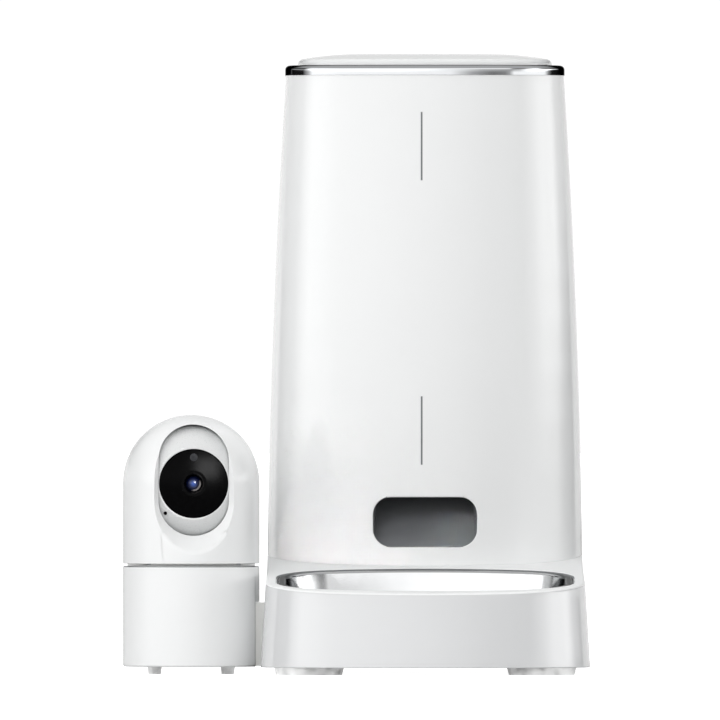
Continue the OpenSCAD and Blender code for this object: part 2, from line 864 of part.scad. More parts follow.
module shaft_bush()
  color(grey)
    at_rotor()
      difference() {
        union() {
          z_pin(bush_r, housing_z - bush_flange_t, housing_z + floor_t);
          z_pin(bush_flange_r, housing_z - bush_flange_t, housing_z);
        }
        z_pin(shaft_r + running, housing_z - bush_flange_t - over, housing_z + floor_t + over);
      }

module stirrer()
  color(grey)
    at_rotor()
      difference() {
        union() {
          z_pin(stir_r, stir_z, stir_z + stir_h - 3);
          translate([0, 0, stir_z + stir_h - 3]) cylinder(h = 3, r1 = stir_r, r2 = stir_r - 3);
          for (i = [0:2])
            rotate([0, 0, 30 + i * 120])
              translate([0, 0, stir_z + 9]) {
                x_pin(stir_arm_r, stir_r - 2, stir_arm);
                translate([stir_arm - stir_arm_r, 0, 0]) z_pin(stir_arm_r, 0, 9);
              }
        }
        z_pin(shaft_r + snug, stir_z - over, stir_z + stir_h - 5);
      }

// Spur gear outline with involute flanks and thinned teeth.
function inv(a) = tan(a) * 180 / PI - a;
gear_press = 20;
gear_thin = 0.16;
function half_tooth(teeth, m, r) =
  let (rp = teeth * m / 2, rb = rp * cos(gear_press))
    90 / teeth - gear_thin * m / rp * 180 / PI + inv(gear_press) - inv(acos(min(1, rb / max(r, rb))));
function gear_pts(teeth, m) =
  let (rp = teeth * m / 2, ra = rp + 0.85 * m, rf = rp - 1.15 * m,
       rs = [rf, rp - 0.55 * m, rp, rp + 0.45 * m, ra])
    [for (i = [0:teeth - 1]) each
      [for (s = sides) each
        [for (k = [0:4])
          let (r = rs[s < 0 ? k : 4 - k], a = i * 360 / teeth + s * half_tooth(teeth, m, r))
            [r * cos(a), r * sin(a)]]]];

module drive_gear()
  color(white)
    at_rotor()
      difference() {
        union() {
          translate([0, 0, gear_z])
            rotate([0, 0, 90]) linear_extrude(height = gear_t) polygon(gear_pts(gear_teeth, gear_m));
          z_pin(hub_r - 2, gear_z, housing_z - bush_flange_t - fit);
        }
        z_pin(shaft_r + snug, gear_z - over, housing_z);
        for (i = [0:5])
          rotate([0, 0, i * 60])
            translate([gear_teeth * gear_m * 0.31, 0, 0]) z_pin(3, gear_z - over, gear_z + gear_t + over);
      }

module motor_pinion()
  color(steel)
    at_pinion() {
      translate([0, 0, gear_z])
        rotate([0, 0, 270 + 180 / pinion_teeth])
          linear_extrude(height = gear_t) polygon(gear_pts(pinion_teeth, gear_m));
      z_pin(motor_shaft_r, bracket_z - 9, gear_z + gear_t + 1);
    }

module gear_motor()
  color(steel)
    at_pinion()
      difference() {
        union() {
          z_pin(motor_r, bracket_z - motor_len, bracket_z);
          z_pin(motor_flange_r, bracket_z - motor_flange_t, bracket_z);
        }
        z_pin(motor_shaft_r + running, bracket_z - 10, bracket_z + over);
        for (s = sides)
          translate([s * motor_screw_x, 0, 0]) z_pin(screw_r - 0.2, bracket_z - motor_flange_t - over, bracket_z + over);
      }

module motor_bracket()
  color(dark)
    at_feeder()
      difference() {
        union() {
          translate([0, 0, bracket_z])
            linear_extrude(height = bracket_t)
              polygon([for (i = [0, 1, 3, 2]) [bracket_posts[i][0] * 1.2,
                bracket_posts[i][1] + (i < 2 ? -7 : 7)]]);
          for (p = bracket_posts)
            translate([p[0], p[1], 0]) z_pin(bracket_r, bracket_z, housing_z);
        }
        translate([0, rotor_y, 0]) z_pin(shaft_r + running, bracket_z - over, bracket_z + bracket_t + over);
        translate([0, pinion_y, 0]) {
          z_pin(motor_shaft_r + 2, bracket_z - over, bracket_z + bracket_t + over);
          for (s = sides)
            translate([s * motor_screw_x, 0, 0])
              z_pin(screw_r - 0.2, bracket_z - over, bracket_z + bracket_t + over);
        }
      }

module motor_screws()
  color(steel)
    at_pinion()
      for (s = sides)
        translate([s * motor_screw_x, 0, 0]) {
          z_pin(screw_r - 0.2 - snug, bracket_z - motor_flange_t, bracket_z + bracket_t);
          z_pin(head_r - 0.6, bracket_z + bracket_t, bracket_z + bracket_t + head_t);
        }

// The crown runs from a rounded edge at the ring to a flat middle.
crown_r = (pow(plan_r + ring_in - crown_edge, 2)) / (2 * crown_h * 0.43);
crown_drop = crown_h * 0.43;
function crown_z(o) = lid_top - pow(o + plan_r, 2) / (2 * crown_r);
crown_face = concat(
  [[ring_in, lid_z], [ring_in, lid_top - crown_drop - crown_edge]],
  arc_pts([ring_in - crown_edge, lid_top - crown_drop - crown_edge], crown_edge, 12, 82, 5),
  [for (i = [1:5]) let (o = ring_in - crown_edge - i * (plan_r + ring_in - crown_edge) / 6) [o, crown_z(o)]],
  [[-plan_r, lid_top]]);

module lid_cover()
  color(white)
    at_tower() {
      plan_sweep(tower_plan)
        polygon(concat(crown_face, [[-plan_r, lid_top - lid_t], [ring_in - crown_edge - 6, lid_top - lid_t - 1.6],
          [ring_in - lid_t, lid_top - crown_drop - crown_edge - 0.6], [ring_in - lid_t, lid_z]]));
      plan_core(tower_plan, lid_top - lid_t, lid_top);
    }

module lid_trim_ring()
  color(steel)
    at_tower()
      plan_sweep(tower_plan)
        polygon(concat([[ring_in, lid_z], [ring_out, lid_z]],
          arc_pts([ring_out - ring_round, ring_top - ring_round], ring_round, 0, 90, 6),
          [[ring_in, ring_top]]));

module lid_liner()
  color(white)
    at_tower() {
      plan_sweep(tower_plan)
        polygon([[-plan_r, liner_z], [-plug_in - plug_t, liner_z], [-plug_in - plug_t, lid_z - plug_d],
          [-plug_in, lid_z - plug_d], [-plug_in, lid_z], [-plan_r, lid_z]]);
      plan_core(tower_plan, liner_z, lid_z);
    }

module lid_seal()
  color(grey)
    at_tower()
      plan_sweep(tower_plan)
        polygon([[-plug_in, lid_z - 2 - seal_h], [-plug_in + seal_t * 0.5, lid_z - 2 - seal_h],
          [-plug_in + seal_t, lid_z - 2 - seal_h * 0.3], [-plug_in + seal_t * 0.5, lid_z - 2],
          [-plug_in, lid_z - 2]]);

module desiccant_cup()
  color(white)
    at_tower() {
      difference() {
        z_pin(cup_r, cup_z, liner_z);
        z_pin(cup_r - cup_wall, cup_z - over, liner_z - cup_wall);
      }
      for (i = [0:2])
        rotate([0, 0, i * 120 - lug_angle])
          rotate_extrude(angle = lug_angle)
            translate([cup_r - cup_wall / 2, cup_z + 1.4]) square([cup_wall / 2 + lug_t, lug_h]);
    }

module desiccant_cap()
  color(grey)
    at_tower()
      difference() {
        z_pin(cup_r + fit + cap_wall, cup_z - fit - cap_t, cup_z - fit + cap_skirt);
        z_pin(cup_r + fit, cup_z - fit, cup_z + cap_skirt + over);
        for (i = [0:2])
          rotate([0, 0, i * 120 - lug_angle - cap_turn - 3])
            rotate_extrude(angle = lug_angle + cap_turn + 6)
              translate([cup_r - cup_wall, cup_z + 1.1]) square([cup_wall + lug_t + cap_wall + over, cap_skirt]);
        for (i = [0:11])
          rotate([0, 0, i * 30])
            translate([cup_r * 0.4, -1, cup_z - fit - cap_t - over]) cube([cup_r * 0.45, 2, cap_t + 2 * over]);
      }

module dock_bracket()
  color(white)
    difference() {
      at_camera()
        translate([dock_flat, -dock_hw, dock_z]) cube([10, 2 * dock_hw, dock_top - dock_z]);
      base_block(0, foot_h - over, base_top);
      at_camera()
        for (z = dock_screws_z)
          translate([0, 0, z]) x_pin(screw_r + snug, dock_flat - over, cam_r + 12);
    }

module dock_screws()
  color(steel)
    at_feeder()
      for (z = dock_screws_z)
        translate([-base_hw - base_out(z) + base_wall, camera_y, z]) {
          x_pin(screw_r, -base_wall - 1.6, 0.2);
          x_pin(head_r, 0.2, 0.2 + head_t);
        }

module camera_base_shell()
  color(white)
    at_camera()
      difference() {
        union() {
          difference() {
            rotate_extrude()
              polygon(concat([[0, foot_h], [cam_r - 1.2, foot_h]], arc_pts([cam_r - 1.2, foot_h + 1.2], 1.2, -75, 0, 4),
                arc_pts([cam_r - 0.8, cam_base_top - 0.8], 0.8, 0, 75, 3), [[cam_r - 0.8, cam_base_top], [0, cam_base_top]]));
            difference() {
              z_pin(cam_in, foot_h - over, cam_base_top - cam_deck_t);
              translate([dock_flat - cam_pad, -cam_pad_hw, 0]) cube([cam_pad + 4, 2 * cam_pad_hw, dock_top + cam_pad]);
              translate([0, 0, speaker_z])
                difference() {
                  y_pin(speaker_r + 2, cam_r - 13, cam_r);
                  y_pin(speaker_r + fit, cam_r - 13 - over, cam_r);
                }
              for (a = cam_post_angles)
                rotate([0, 0, a]) translate([cam_post_at, 0, 0]) z_pin(cam_post_r, plate_top, cam_base_top);
            }
          }
          difference() {
            z_pin(rib_r + rib_w, cam_base_top - 0.2, turntable_z - fit);
            z_pin(rib_r, cam_base_top - 0.3, turntable_z + over);
          }
        }
        translate([dock_flat, -cam_r, foot_h - over]) cube([10, 2 * cam_r, dock_top + fit - foot_h + over]);
        z_pin(pan_hub_r + hub_play, cam_base_top - cam_deck_t - over, cam_base_top + over);
        for (a = cam_post_angles)
          rotate([0, 0, a]) translate([cam_post_at, 0, 0]) z_pin(cam_screw_r + snug, foot_h, plate_top + 11);
        translate([0, cam_in - 4, cam_port_z + port_h / 2])
          rotate([-90, 0, 0])
            linear_extrude(height = 10)
              polygon(round_pts(port_w + 2 * fit, port_h + 2 * fit, port_h / 2));
        translate([reset_x, 0, reset_z]) y_pin(reset_r + button_play, 20, cam_r + over);
        translate([0, 0, speaker_z]) {
          y_pin(grille_r, cam_in - 3, cam_r + over);
          for (i = [0:5])
            rotate([0, i * 60, 0]) translate([3.6, 0, 0]) y_pin(grille_r, cam_in - 3, cam_r + over);
          for (i = [0:11])
            rotate([0, i * 30, 0]) translate([7.2, 0, 0]) y_pin(grille_r, cam_in - 4, cam_r + over);
        }
      }

module camera_base_plate()
  color(grey)
    at_camera()
      difference() {
        union() {
          z_pin(cam_plate_r, foot_h, plate_top);
          for (a = cam_post_angles)
            rotate([0, 0, a + 60]) translate([cam_board_r - 4, 0, 0]) z_pin(2.4, plate_top, cam_board_z);
        }
        translate([dock_flat - cam_pad - fit, -cam_r, foot_h - over]) cube([10, 2 * cam_r, plate_t + 2 * over]);
        for (a = cam_post_angles)
          rotate([0, 0, a]) translate([cam_post_at, 0, 0]) screw_hole(cam_screw_r, cam_head_r, head_t, foot_h);
      }

module camera_feet()
  color(grey)
    at_camera()
      for (f = cam_feet)
        translate([f[0], f[1], 0]) cylinder(h = foot_h, r1 = cam_foot_r - cam_foot_taper, r2 = cam_foot_r);

module camera_base_screws()
  color(steel)
    at_camera()
      for (a = cam_post_angles)
        rotate([0, 0, a]) translate([cam_post_at, 0, 0]) up_screw(cam_screw_r, cam_head_r, head_t, plate_t + 9, foot_h);

module pan_motor()
  color(steel)
    at_camera()
      difference() {
        union() {
          z_pin(pan_r, cam_base_top - cam_deck_t - pan_len, cam_base_top - cam_deck_t);
          z_pin(pan_flange_r, cam_base_top - cam_deck_t - pan_flange_t, cam_base_top - cam_deck_t);
        }
        z_pin(pan_shaft_r + running, cam_base_top - cam_deck_t - 12, cam_base_top + over);
      }

module pan_shaft()
  color(steel)
    at_head() z_pin(pan_shaft_r, cam_base_top - cam_deck_t - 11, turntable_z + turntable_t + 5);

module camera_board()
  color(green)
    at_camera()
      translate([0, 0, cam_board_z]) {
        z_pin(cam_board_r, 0, board_t);
        translate([-8, -14, board_t]) cube([14, 14, 2]);
        translate([reset_x - 2.5, reset_seat - 8.4, board_t]) cube([5, 6, reset_z - cam_board_z - board_t + 2]);
      }

module speaker()
  color(dark)
    at_camera()
      translate([0, 0, speaker_z]) {
        y_pin(speaker_r, cam_r - 11.4, cam_r - 11.4 + speaker_t);
        y_pin(speaker_r - 4, cam_r - 15, cam_r - 11.4);
      }

module camera_socket()
  color(steel)
    at_camera()
      translate([0, 0, cam_port_z + port_h / 2])
        difference() {
          translate([0, cam_board_r - 8, 0])
            rotate([-90, 0, 0])
              linear_extrude(height = cam_port_face - cam_board_r + 8) polygon(round_pts(port_w, port_h, port_h / 2 - 0.1));
          translate([0, cam_port_face - 6, 0])
            rotate([-90, 0, 0])
              linear_extrude(height = 6 + over)
                difference() {
                  polygon(round_pts(port_w - 0.8, port_h - 0.8, port_h / 2 - 0.5));
                  square([port_w - 2.6, 0.7], center = true);
                }
        }

module reset_button()
  color(dark)
    at_camera()
      translate([reset_x, 0, reset_z]) {
        y_pin(reset_r + reset_flange, reset_seat - 1, reset_seat);
        y_pin(reset_r, reset_seat - lap, reset_face);
      }

module head_turntable()
  color(white)
    at_head()
      difference() {
        union() {
          z_pin(turntable_r, turntable_z, turntable_z + turntable_t);
          z_pin(pan_hub_r, cam_base_top - cam_deck_t + fit, turntable_z + turntable_t + 4);
          for (s = sides)
            translate([s * (arm_in + arm_t / 2), 0, 0]) {
              translate([-arm_t / 2, -arm_hw, turntable_z]) cube([arm_t, 2 * arm_hw, eye_z - turntable_z]);
              translate([0, 0, eye_z]) x_pin(arm_hw, -arm_t / 2, arm_t / 2);
            }
        }
        z_pin(pan_shaft_r + snug, 0, turntable_z + turntable_t + 4 + over);
        translate([0, 0, eye_z]) x_pin(tilt_r + snug, -cam_r, cam_r);
        for (a = boss_angles)
          rotate([0, 0, a])
            translate([shell_boss_at, 0, 0]) {
              z_pin(head_screw_r + snug, turntable_z - over, turntable_z + turntable_t + over);
              z_pin(head_screw_head + fit, turntable_z - over, turntable_z + 1.2);
            }
      }

module head_screws()
  color(steel)
    at_head()
      for (a = boss_angles)
        rotate([0, 0, a])
          translate([shell_boss_at, 0, turntable_z]) {
            z_pin(head_screw_head, 0.2, 1.2);
            z_pin(head_screw_r, 1.2, turntable_t + 7);
          }

// A tall window cut: straight towards the eye, spreading outwards.
module window_cut(grow) {
  translate([0, 0, eye_z + window_up]) {
    for (s = sides)
      translate([0, 0, s * window_leg]) {
        y_pin(window_r + grow, -cam_r - over, 0);
        y_pin(window_r + grow + rim_spread * (cam_r + over + rim_y), -cam_r - over, rim_y, window_r + grow);
      }
    translate([-window_r - grow, -cam_r - over, -window_leg]) cube([2 * (window_r + grow), cam_r + over, 2 * window_leg]);
    translate([0, 0, -window_leg])
      linear_extrude(height = 2 * window_leg)
        polygon([[-window_r - grow, rim_y], [window_r + grow, rim_y],
          [window_r + grow + rim_spread * (cam_r + over + rim_y), -cam_r - over],
          [-window_r - grow - rim_spread * (cam_r + over + rim_y), -cam_r - over]]);
  }
}

module head_form(r) {
  z_pin(r, cam_head_z, eye_z);
  translate([0, 0, eye_z]) sphere(r = r);
}

module head_skin()
  difference() {
    head_form(cam_r);
    z_pin(cam_in, cam_head_z - over, eye_z);
    translate([0, 0, eye_z]) sphere(r = cam_in);
    slab(-over, cam_head_z, cam_d);
  }

module head_bosses(angles)
  for (a = angles)
    rotate([0, 0, a])
      translate([shell_boss_at, 0, 0])
        difference() {
          z_pin(shell_boss_r, turntable_z + turntable_t, turntable_z + turntable_t + shell_boss);
          z_pin(head_screw_r + snug, turntable_z, turntable_z + turntable_t + 8);
        }

module front_half() translate([-cam_d, -2 * cam_d, -cam_d]) cube([2 * cam_d, 2 * cam_d, 4 * cam_d]);

module head_front_shell()
  color(white)
    at_head()
      difference() {
        union() {
          intersection() {
            head_skin();
            front_half();
          }
          intersection() {
            head_form(cam_r - cam_wall / 2);
            window_cut(lip_t);
            translate([-cam_d, -2 * cam_d, 0]) cube([2 * cam_d, 2 * cam_d - 12, 4 * cam_d]);
          }
          head_bosses([225, 315]);
        }
        window_cut(0);
        translate([0, 0, eye_z]) sphere(r = eye_r + ball_gap);
      }

module head_rear_shell()
  color(white)
    at_head() {
      difference() {
        head_skin();
        front_half();
      }
      head_bosses([45, 135]);
    }

module tilt_shaft()
  color(steel)
    at_eye() x_pin(tilt_r, -arm_in - arm_t, -eye_hw + eye_wall + 10);

module tilt_pivot_pin()
  color(steel)
    at_eye() x_pin(tilt_r, eye_hw - eye_wall - pin_boss + 0.5, arm_in + arm_t);

module eye_shell_form()
  difference() {
    union() {
      difference() {
        intersection() {
          sphere(r = eye_r, $fn = 160);
          translate([-eye_hw, -eye_r, -eye_r]) cube([2 * eye_hw, 2 * eye_r, 2 * eye_r]);
        }
        intersection() {
          sphere(r = eye_r - eye_wall, $fn = 160);
          translate([eye_wall - eye_hw, -eye_r, -eye_r]) cube([2 * (eye_hw - eye_wall), 2 * eye_r, 2 * eye_r]);
        }
      }
      x_pin(pin_boss_r, eye_hw - eye_wall - pin_boss, eye_hw - 0.1);
    }
    x_pin(tilt_r + running, eye_hw - eye_wall - pin_boss - over, eye_hw + over);
    x_pin(tilt_r + 0.3, -eye_hw - over, -eye_hw + eye_wall + over);
    y_pin(face_r + 0.05, -eye_r - over, face_y + face_t);
    translate([-eye_r, -2 * eye_r, -eye_r]) cube([2 * eye_r, 2 * eye_r + face_y, 2 * eye_r]);
    y_pin(face_r - 2, -eye_r, face_y + face_t + 4);
  }

module eye_front_shell()
  color(white)
    at_eye()
      difference() {
        intersection() {
          union() {
            eye_shell_form();
            difference() {
              intersection() {
                y_pin(face_r + 6, face_y + face_t, face_y + face_t + 2);
                sphere(r = eye_r - lap, $fn = 160);
              }
              y_pin(face_r - 2, face_y, face_y + face_t + 4);
            }
          }
          front_half();
        }
        translate([mic_at[0], 0, mic_at[1]]) y_pin(mic_r, -eye_r, mic_back);
      }

module eye_rear_shell()
  color(white)
    at_eye()
      difference() {
        eye_shell_form();
        front_half();
      }

module face_cover()
  color(dark)
    at_eye()
      difference() {
        intersection() {
          y_pin(face_r, face_y - face_rise - over, face_y + face_t);
          translate([0, face_y - face_rise + face_sphere, 0]) sphere(r = face_sphere, $fn = 256);
        }
        y_pin(lens_r + snug, -eye_r, 0);
        translate([0, 0, sensor_up]) y_pin(sensor_r + snug, -eye_r, 0);
      }

module lens_barrel()
  color(dark)
    at_eye()
      difference() {
        y_pin(lens_r, lens_front, lens_back);
        y_pin(lens_r - 1.2, lens_front - over, glass_back - 1.4, glass_r + snug);
        y_pin(glass_r + snug, glass_back - 2, lens_back + over);
      }

module lens_glass()
  color(clear)
    at_eye()
      intersection() {
        y_pin(glass_r, glass_back - glass_z - over, glass_back + 3);
        translate([0, glass_back - glass_z - 1.4 + glass_sphere, 0]) sphere(r = glass_sphere);
      }

module sensor_window()
  color(clear)
    at_eye() translate([0, 0, sensor_up]) y_pin(sensor_r, face_y - 1.1, face_y + face_t);

module sensor_board()
  color(green)
    at_eye() {
      translate([-imager_w / 2, lens_back, -imager_w / 2]) cube([imager_w, board_t, imager_w]);
      for (s = sides)
        translate([s * (imager_w / 2 - 3), 0, -9]) y_pin(2, face_y + face_t + 2, lens_back);
    }

module tilt_motor()
  color(steel)
    at_eye()
      difference() {
        union() {
          x_pin(tilt_motor_r, -eye_hw + eye_wall, -eye_hw + eye_wall + tilt_motor_len);
          x_pin(tilt_motor_r + 2, -eye_hw + eye_wall, -eye_hw + eye_wall + 1.6);
        }
        x_pin(tilt_r + running, -eye_hw, -eye_hw + eye_wall + 11);
      }

base_shell();
base_plate();
battery_box();
battery_cells();
battery_door();
base_feet();
base_screws();
main_board();
power_socket();
feed_button();
steel_bowl();
tower_shell();
rotor_housing();
hopper_funnel();
outlet_chute();
portion_guard();
feed_rotor();
rotor_wipers();
rotor_shaft();
shaft_bush();
stirrer();
drive_gear();
motor_pinion();
gear_motor();
motor_bracket();
motor_screws();
lid_cover();
lid_trim_ring();
lid_liner();
lid_seal();
desiccant_cup();
desiccant_cap();
dock_bracket();
dock_screws();
camera_base_shell();
camera_base_plate();
camera_feet();
camera_base_screws();
pan_motor();
pan_shaft();
camera_board();
speaker();
camera_socket();
reset_button();
head_turntable();
head_front_shell();
head_rear_shell();
head_screws();
tilt_shaft();
tilt_pivot_pin();
eye_front_shell();
eye_rear_shell();
face_cover();
lens_barrel();
lens_glass();
sensor_window();
sensor_board();
tilt_motor();
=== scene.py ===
"""Studio dressing for an automatic pet feeder with a docked camera."""

import json
import math

import bmesh
import bpy
from bpy.props import FloatProperty, IntProperty, PointerProperty, StringProperty
from mathutils import Matrix, Vector
from mathutils.bvhtree import BVHTree


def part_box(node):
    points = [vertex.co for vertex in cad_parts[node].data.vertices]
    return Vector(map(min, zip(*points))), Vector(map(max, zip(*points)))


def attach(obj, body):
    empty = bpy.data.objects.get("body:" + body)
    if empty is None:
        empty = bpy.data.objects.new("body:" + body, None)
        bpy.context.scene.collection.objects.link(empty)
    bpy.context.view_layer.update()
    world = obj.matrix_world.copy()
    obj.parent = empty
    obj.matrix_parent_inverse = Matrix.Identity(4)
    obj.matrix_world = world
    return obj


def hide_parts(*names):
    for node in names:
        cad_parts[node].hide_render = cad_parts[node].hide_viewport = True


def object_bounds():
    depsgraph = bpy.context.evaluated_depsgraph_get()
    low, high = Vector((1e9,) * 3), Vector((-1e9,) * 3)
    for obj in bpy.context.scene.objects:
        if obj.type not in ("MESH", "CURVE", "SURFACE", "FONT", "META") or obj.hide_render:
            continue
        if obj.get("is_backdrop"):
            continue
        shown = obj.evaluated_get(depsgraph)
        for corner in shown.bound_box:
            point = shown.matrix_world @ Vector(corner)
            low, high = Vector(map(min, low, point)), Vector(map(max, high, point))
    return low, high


bl_info = {
    "name": "Pet Feeder Dressing",
    "version": (1, 0, 0),
    "blender": (4, 5, 0),
    "location": "3D View > Sidebar > Feeder",
    "description": "Gives the packed pet feeder its finishes, small mouldings and studio stage",
    "category": "Object",
}

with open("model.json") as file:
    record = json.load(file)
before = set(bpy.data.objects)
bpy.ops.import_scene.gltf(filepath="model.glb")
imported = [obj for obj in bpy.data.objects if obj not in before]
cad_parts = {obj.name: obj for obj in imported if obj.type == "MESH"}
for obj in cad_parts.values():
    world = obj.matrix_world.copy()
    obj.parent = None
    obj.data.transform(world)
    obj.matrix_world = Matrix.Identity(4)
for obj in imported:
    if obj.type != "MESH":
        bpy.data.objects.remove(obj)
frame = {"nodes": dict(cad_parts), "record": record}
CAD_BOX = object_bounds()
NODES = frame["nodes"]
MM = 0.001

# Heights above a shell's lowest point at which an edge to be rounded crosses its front, in millimetres.
DECK_EDGE = 39.5
OUTLET_EDGE = 9.7
SCOOP_EDGE = 6
# How far such an edge turns, in degrees: most of them, the shallow scoop, and the head's square foot.
SHARP_TURN = (25, 120)
SCOOP_TURN = (12, 70)
SQUARE_TURN = (80, 100)
# Heights that tell faces apart, in millimetres.
RECESS_LOW = 43
DECK_LOW = 40
TOWER_INSIDE = (100, 310)
TOWER_MIDDLE = 200
CAMERA_SEAM = 56
# The Z of a face's normal that parts walls from the deck, that a level face passes, and that the camera
# stand's top passes.
WALL_RISE = 0.3
LEVEL_RISE = 0.99
SEAM_RISE = 0.5
# The thickness of the bowl's flange, in millimetres.
FLANGE_THICKNESS = 1
# The eye's rim starts this far inside the face cover's edge, in millimetres.
RIM_OVERLAP = 0.2
# The lens: its dome's radius as a share of its own, how far it sits back, its wall, and its facets.
LENS_BULGE = 1.6
LENS_SINK = 0.15
LENS_WALL = 2.5
LENS_STEPS = 12
LENS_TURNS = 64
# The painted reflection of a pale arc in the lens: how it fades from the rim inwards, its direction, and
# where it starts and is full.
GLARE_RING = ((0.05, 0), (0.13, 1), (0.22, 1), (0.33, 0))
GLARE_SIDE = (0.78, 0, -0.62)
GLARE_START = 0.3
GLARE_FULL = 0.65
# The middle range of a noise pattern, which is spread over the whole of what it varies.
PATTERN_SPAN = (0.3, 0.7)
# Colours that a user would leave: the painted dark reflection on metals seen at a glancing angle, a board's
# tracks and the paper.
STEEL_PAINTED_REFLECTION = "#7C7E80"
CHROME_PAINTED_REFLECTION = "#0B0B0C"
TRACK_GREEN = "#4E9A6B"
PAPER_WHITE = "#DCDCDC"
# The backdrop as the camera sees it, how far the camera sees in metres, and a narrow lamp's side in metres.
BACKDROP = 1.05
VIEW_END = 200
NARROW_LAMP = (0.05, 0.05)


class FinishSettings(bpy.types.PropertyGroup):
    """Colours of the finishes, as sRGB hex values."""

    shell: StringProperty(
        name="Shell", description="Gloss ABS of the outer shells",
        default="#EEEFEF",
    )
    # The deck takes this paler white too, as painted light on the tray's top.
    camera: StringProperty(
        name="Camera", description="Pale ABS of the camera's shells and the deck",
        default="#F5F6F6",
    )
    # Painted shade: the tray's sides take this greyer white for the shade they fall in.
    base: StringProperty(
        name="Base", description="Gloss ABS of the tray base, a little greyer",
        default="#DCDDDE",
    )
    inner: StringProperty(
        name="Inner mouldings", description="Satin polypropylene of the inner mouldings",
        default="#EDEDEA",
    )
    chute: StringProperty(
        name="Chute", description="Grey ABS of the chute, rotor and button",
        default="#77797C",
    )
    dark: StringProperty(
        name="Dark mouldings", description="Black polyamide of brackets and boxes",
        default="#26272A",
    )
    face: StringProperty(
        name="Face cover", description="Black acrylic of the camera's face",
        default="#050506",
    )
    foot: StringProperty(
        name="Feet", description="Clear thermoplastic rubber of the feet",
        default="#F0F1F1",
    )
    seal: StringProperty(
        name="Seals", description="Silicone rubber of the seal and wipers",
        default="#C9CAC8",
    )
    steel: StringProperty(
        name="Bowl steel", description="Polished stainless steel of the bowl",
        default="#ECEDEE",
    )
    chrome: StringProperty(
        name="Trim chrome", description="Chrome plate of the lid ring",
        default="#E3E5E7",
    )
    zinc: StringProperty(
        name="Fasteners", description="Zinc-plated steel of screws and shafts",
        default="#B9BCBF",
    )
    board: StringProperty(
        name="Circuit boards", description="Solder mask of the circuit boards",
        default="#1C5B3A",
    )
    nickel: StringProperty(
        name="Motors and sockets", description="Nickel-plated steel of motors and sockets",
        default="#BFC1C3",
    )
    can: StringProperty(
        name="Cells", description="Nickel-plated cans of the battery cells",
        default="#C9CACB",
    )
    acetal: StringProperty(
        name="Gear", description="Natural acetal of the gear and the bush",
        default="#E9E7DF",
    )
    # Painted shade: the wall round the bowl takes this grey for the shadow gap under the deck's edge.
    recess_shade: StringProperty(
        name="Recess", description="Grey ABS of the wall round the bowl",
        default="#9C9EA0",
    )
    eye: StringProperty(
        name="Eye", description="Satin ABS of the tilting eye",
        default="#E4E5E5",
    )
    smoke: StringProperty(
        name="Sensor window", description="Smoked acrylic of the sensor window",
        default="#47484B",
    )
    print_ink: StringProperty(
        name="Print", description="Ink of the two printed lines",
        default="#77797C",
    )


class MouldingSettings(bpy.types.PropertyGroup):
    """Sizes of what is added to the solids."""

    line_width: FloatProperty(
        name="Line width", description="Width of a printed line",
        default=0.9 * MM, subtype="DISTANCE", unit="LENGTH",
    )
    line_x: FloatProperty(
        name="Line place", description="Printed lines' place along X",
        default=34.8 * MM, subtype="DISTANCE", unit="LENGTH",
    )
    line_length: FloatProperty(
        name="Line length", description="Length of a printed line",
        default=36.4 * MM, subtype="DISTANCE", unit="LENGTH",
    )
    upper_line: FloatProperty(
        name="Upper line", description="Height of the upper line's middle",
        default=280.5 * MM, subtype="DISTANCE", unit="LENGTH",
    )
    lower_line: FloatProperty(
        name="Lower line", description="Height of the lower line's middle",
        default=129.2 * MM, subtype="DISTANCE", unit="LENGTH",
    )
    ink: FloatProperty(
        name="Ink", description="Thickness of the printed ink",
        default=0.05 * MM, subtype="DISTANCE", unit="LENGTH",
    )
    rim_edge: FloatProperty(
        name="Rim edge", description="Moulded radius on the deck and the scoop",
        default=1.5 * MM, subtype="DISTANCE", unit="LENGTH",
    )
    shell_edge: FloatProperty(
        name="Shell edge", description="Moulded radius on the shells' other edges",
        default=0.6 * MM, subtype="DISTANCE", unit="LENGTH",
    )
    small_edge: FloatProperty(
        name="Small edge", description="Moulded radius on small pieces",
        default=0.3 * MM, subtype="DISTANCE", unit="LENGTH",
    )
    seam: FloatProperty(
        name="Seam", description="How far the tower's ends reach into its seams",
        default=0.17 * MM, subtype="DISTANCE", unit="LENGTH",
    )
    edge_steps: IntProperty(
        name="Edge steps", description="Segments across a moulded radius",
        default=4, min=1, max=6,
    )


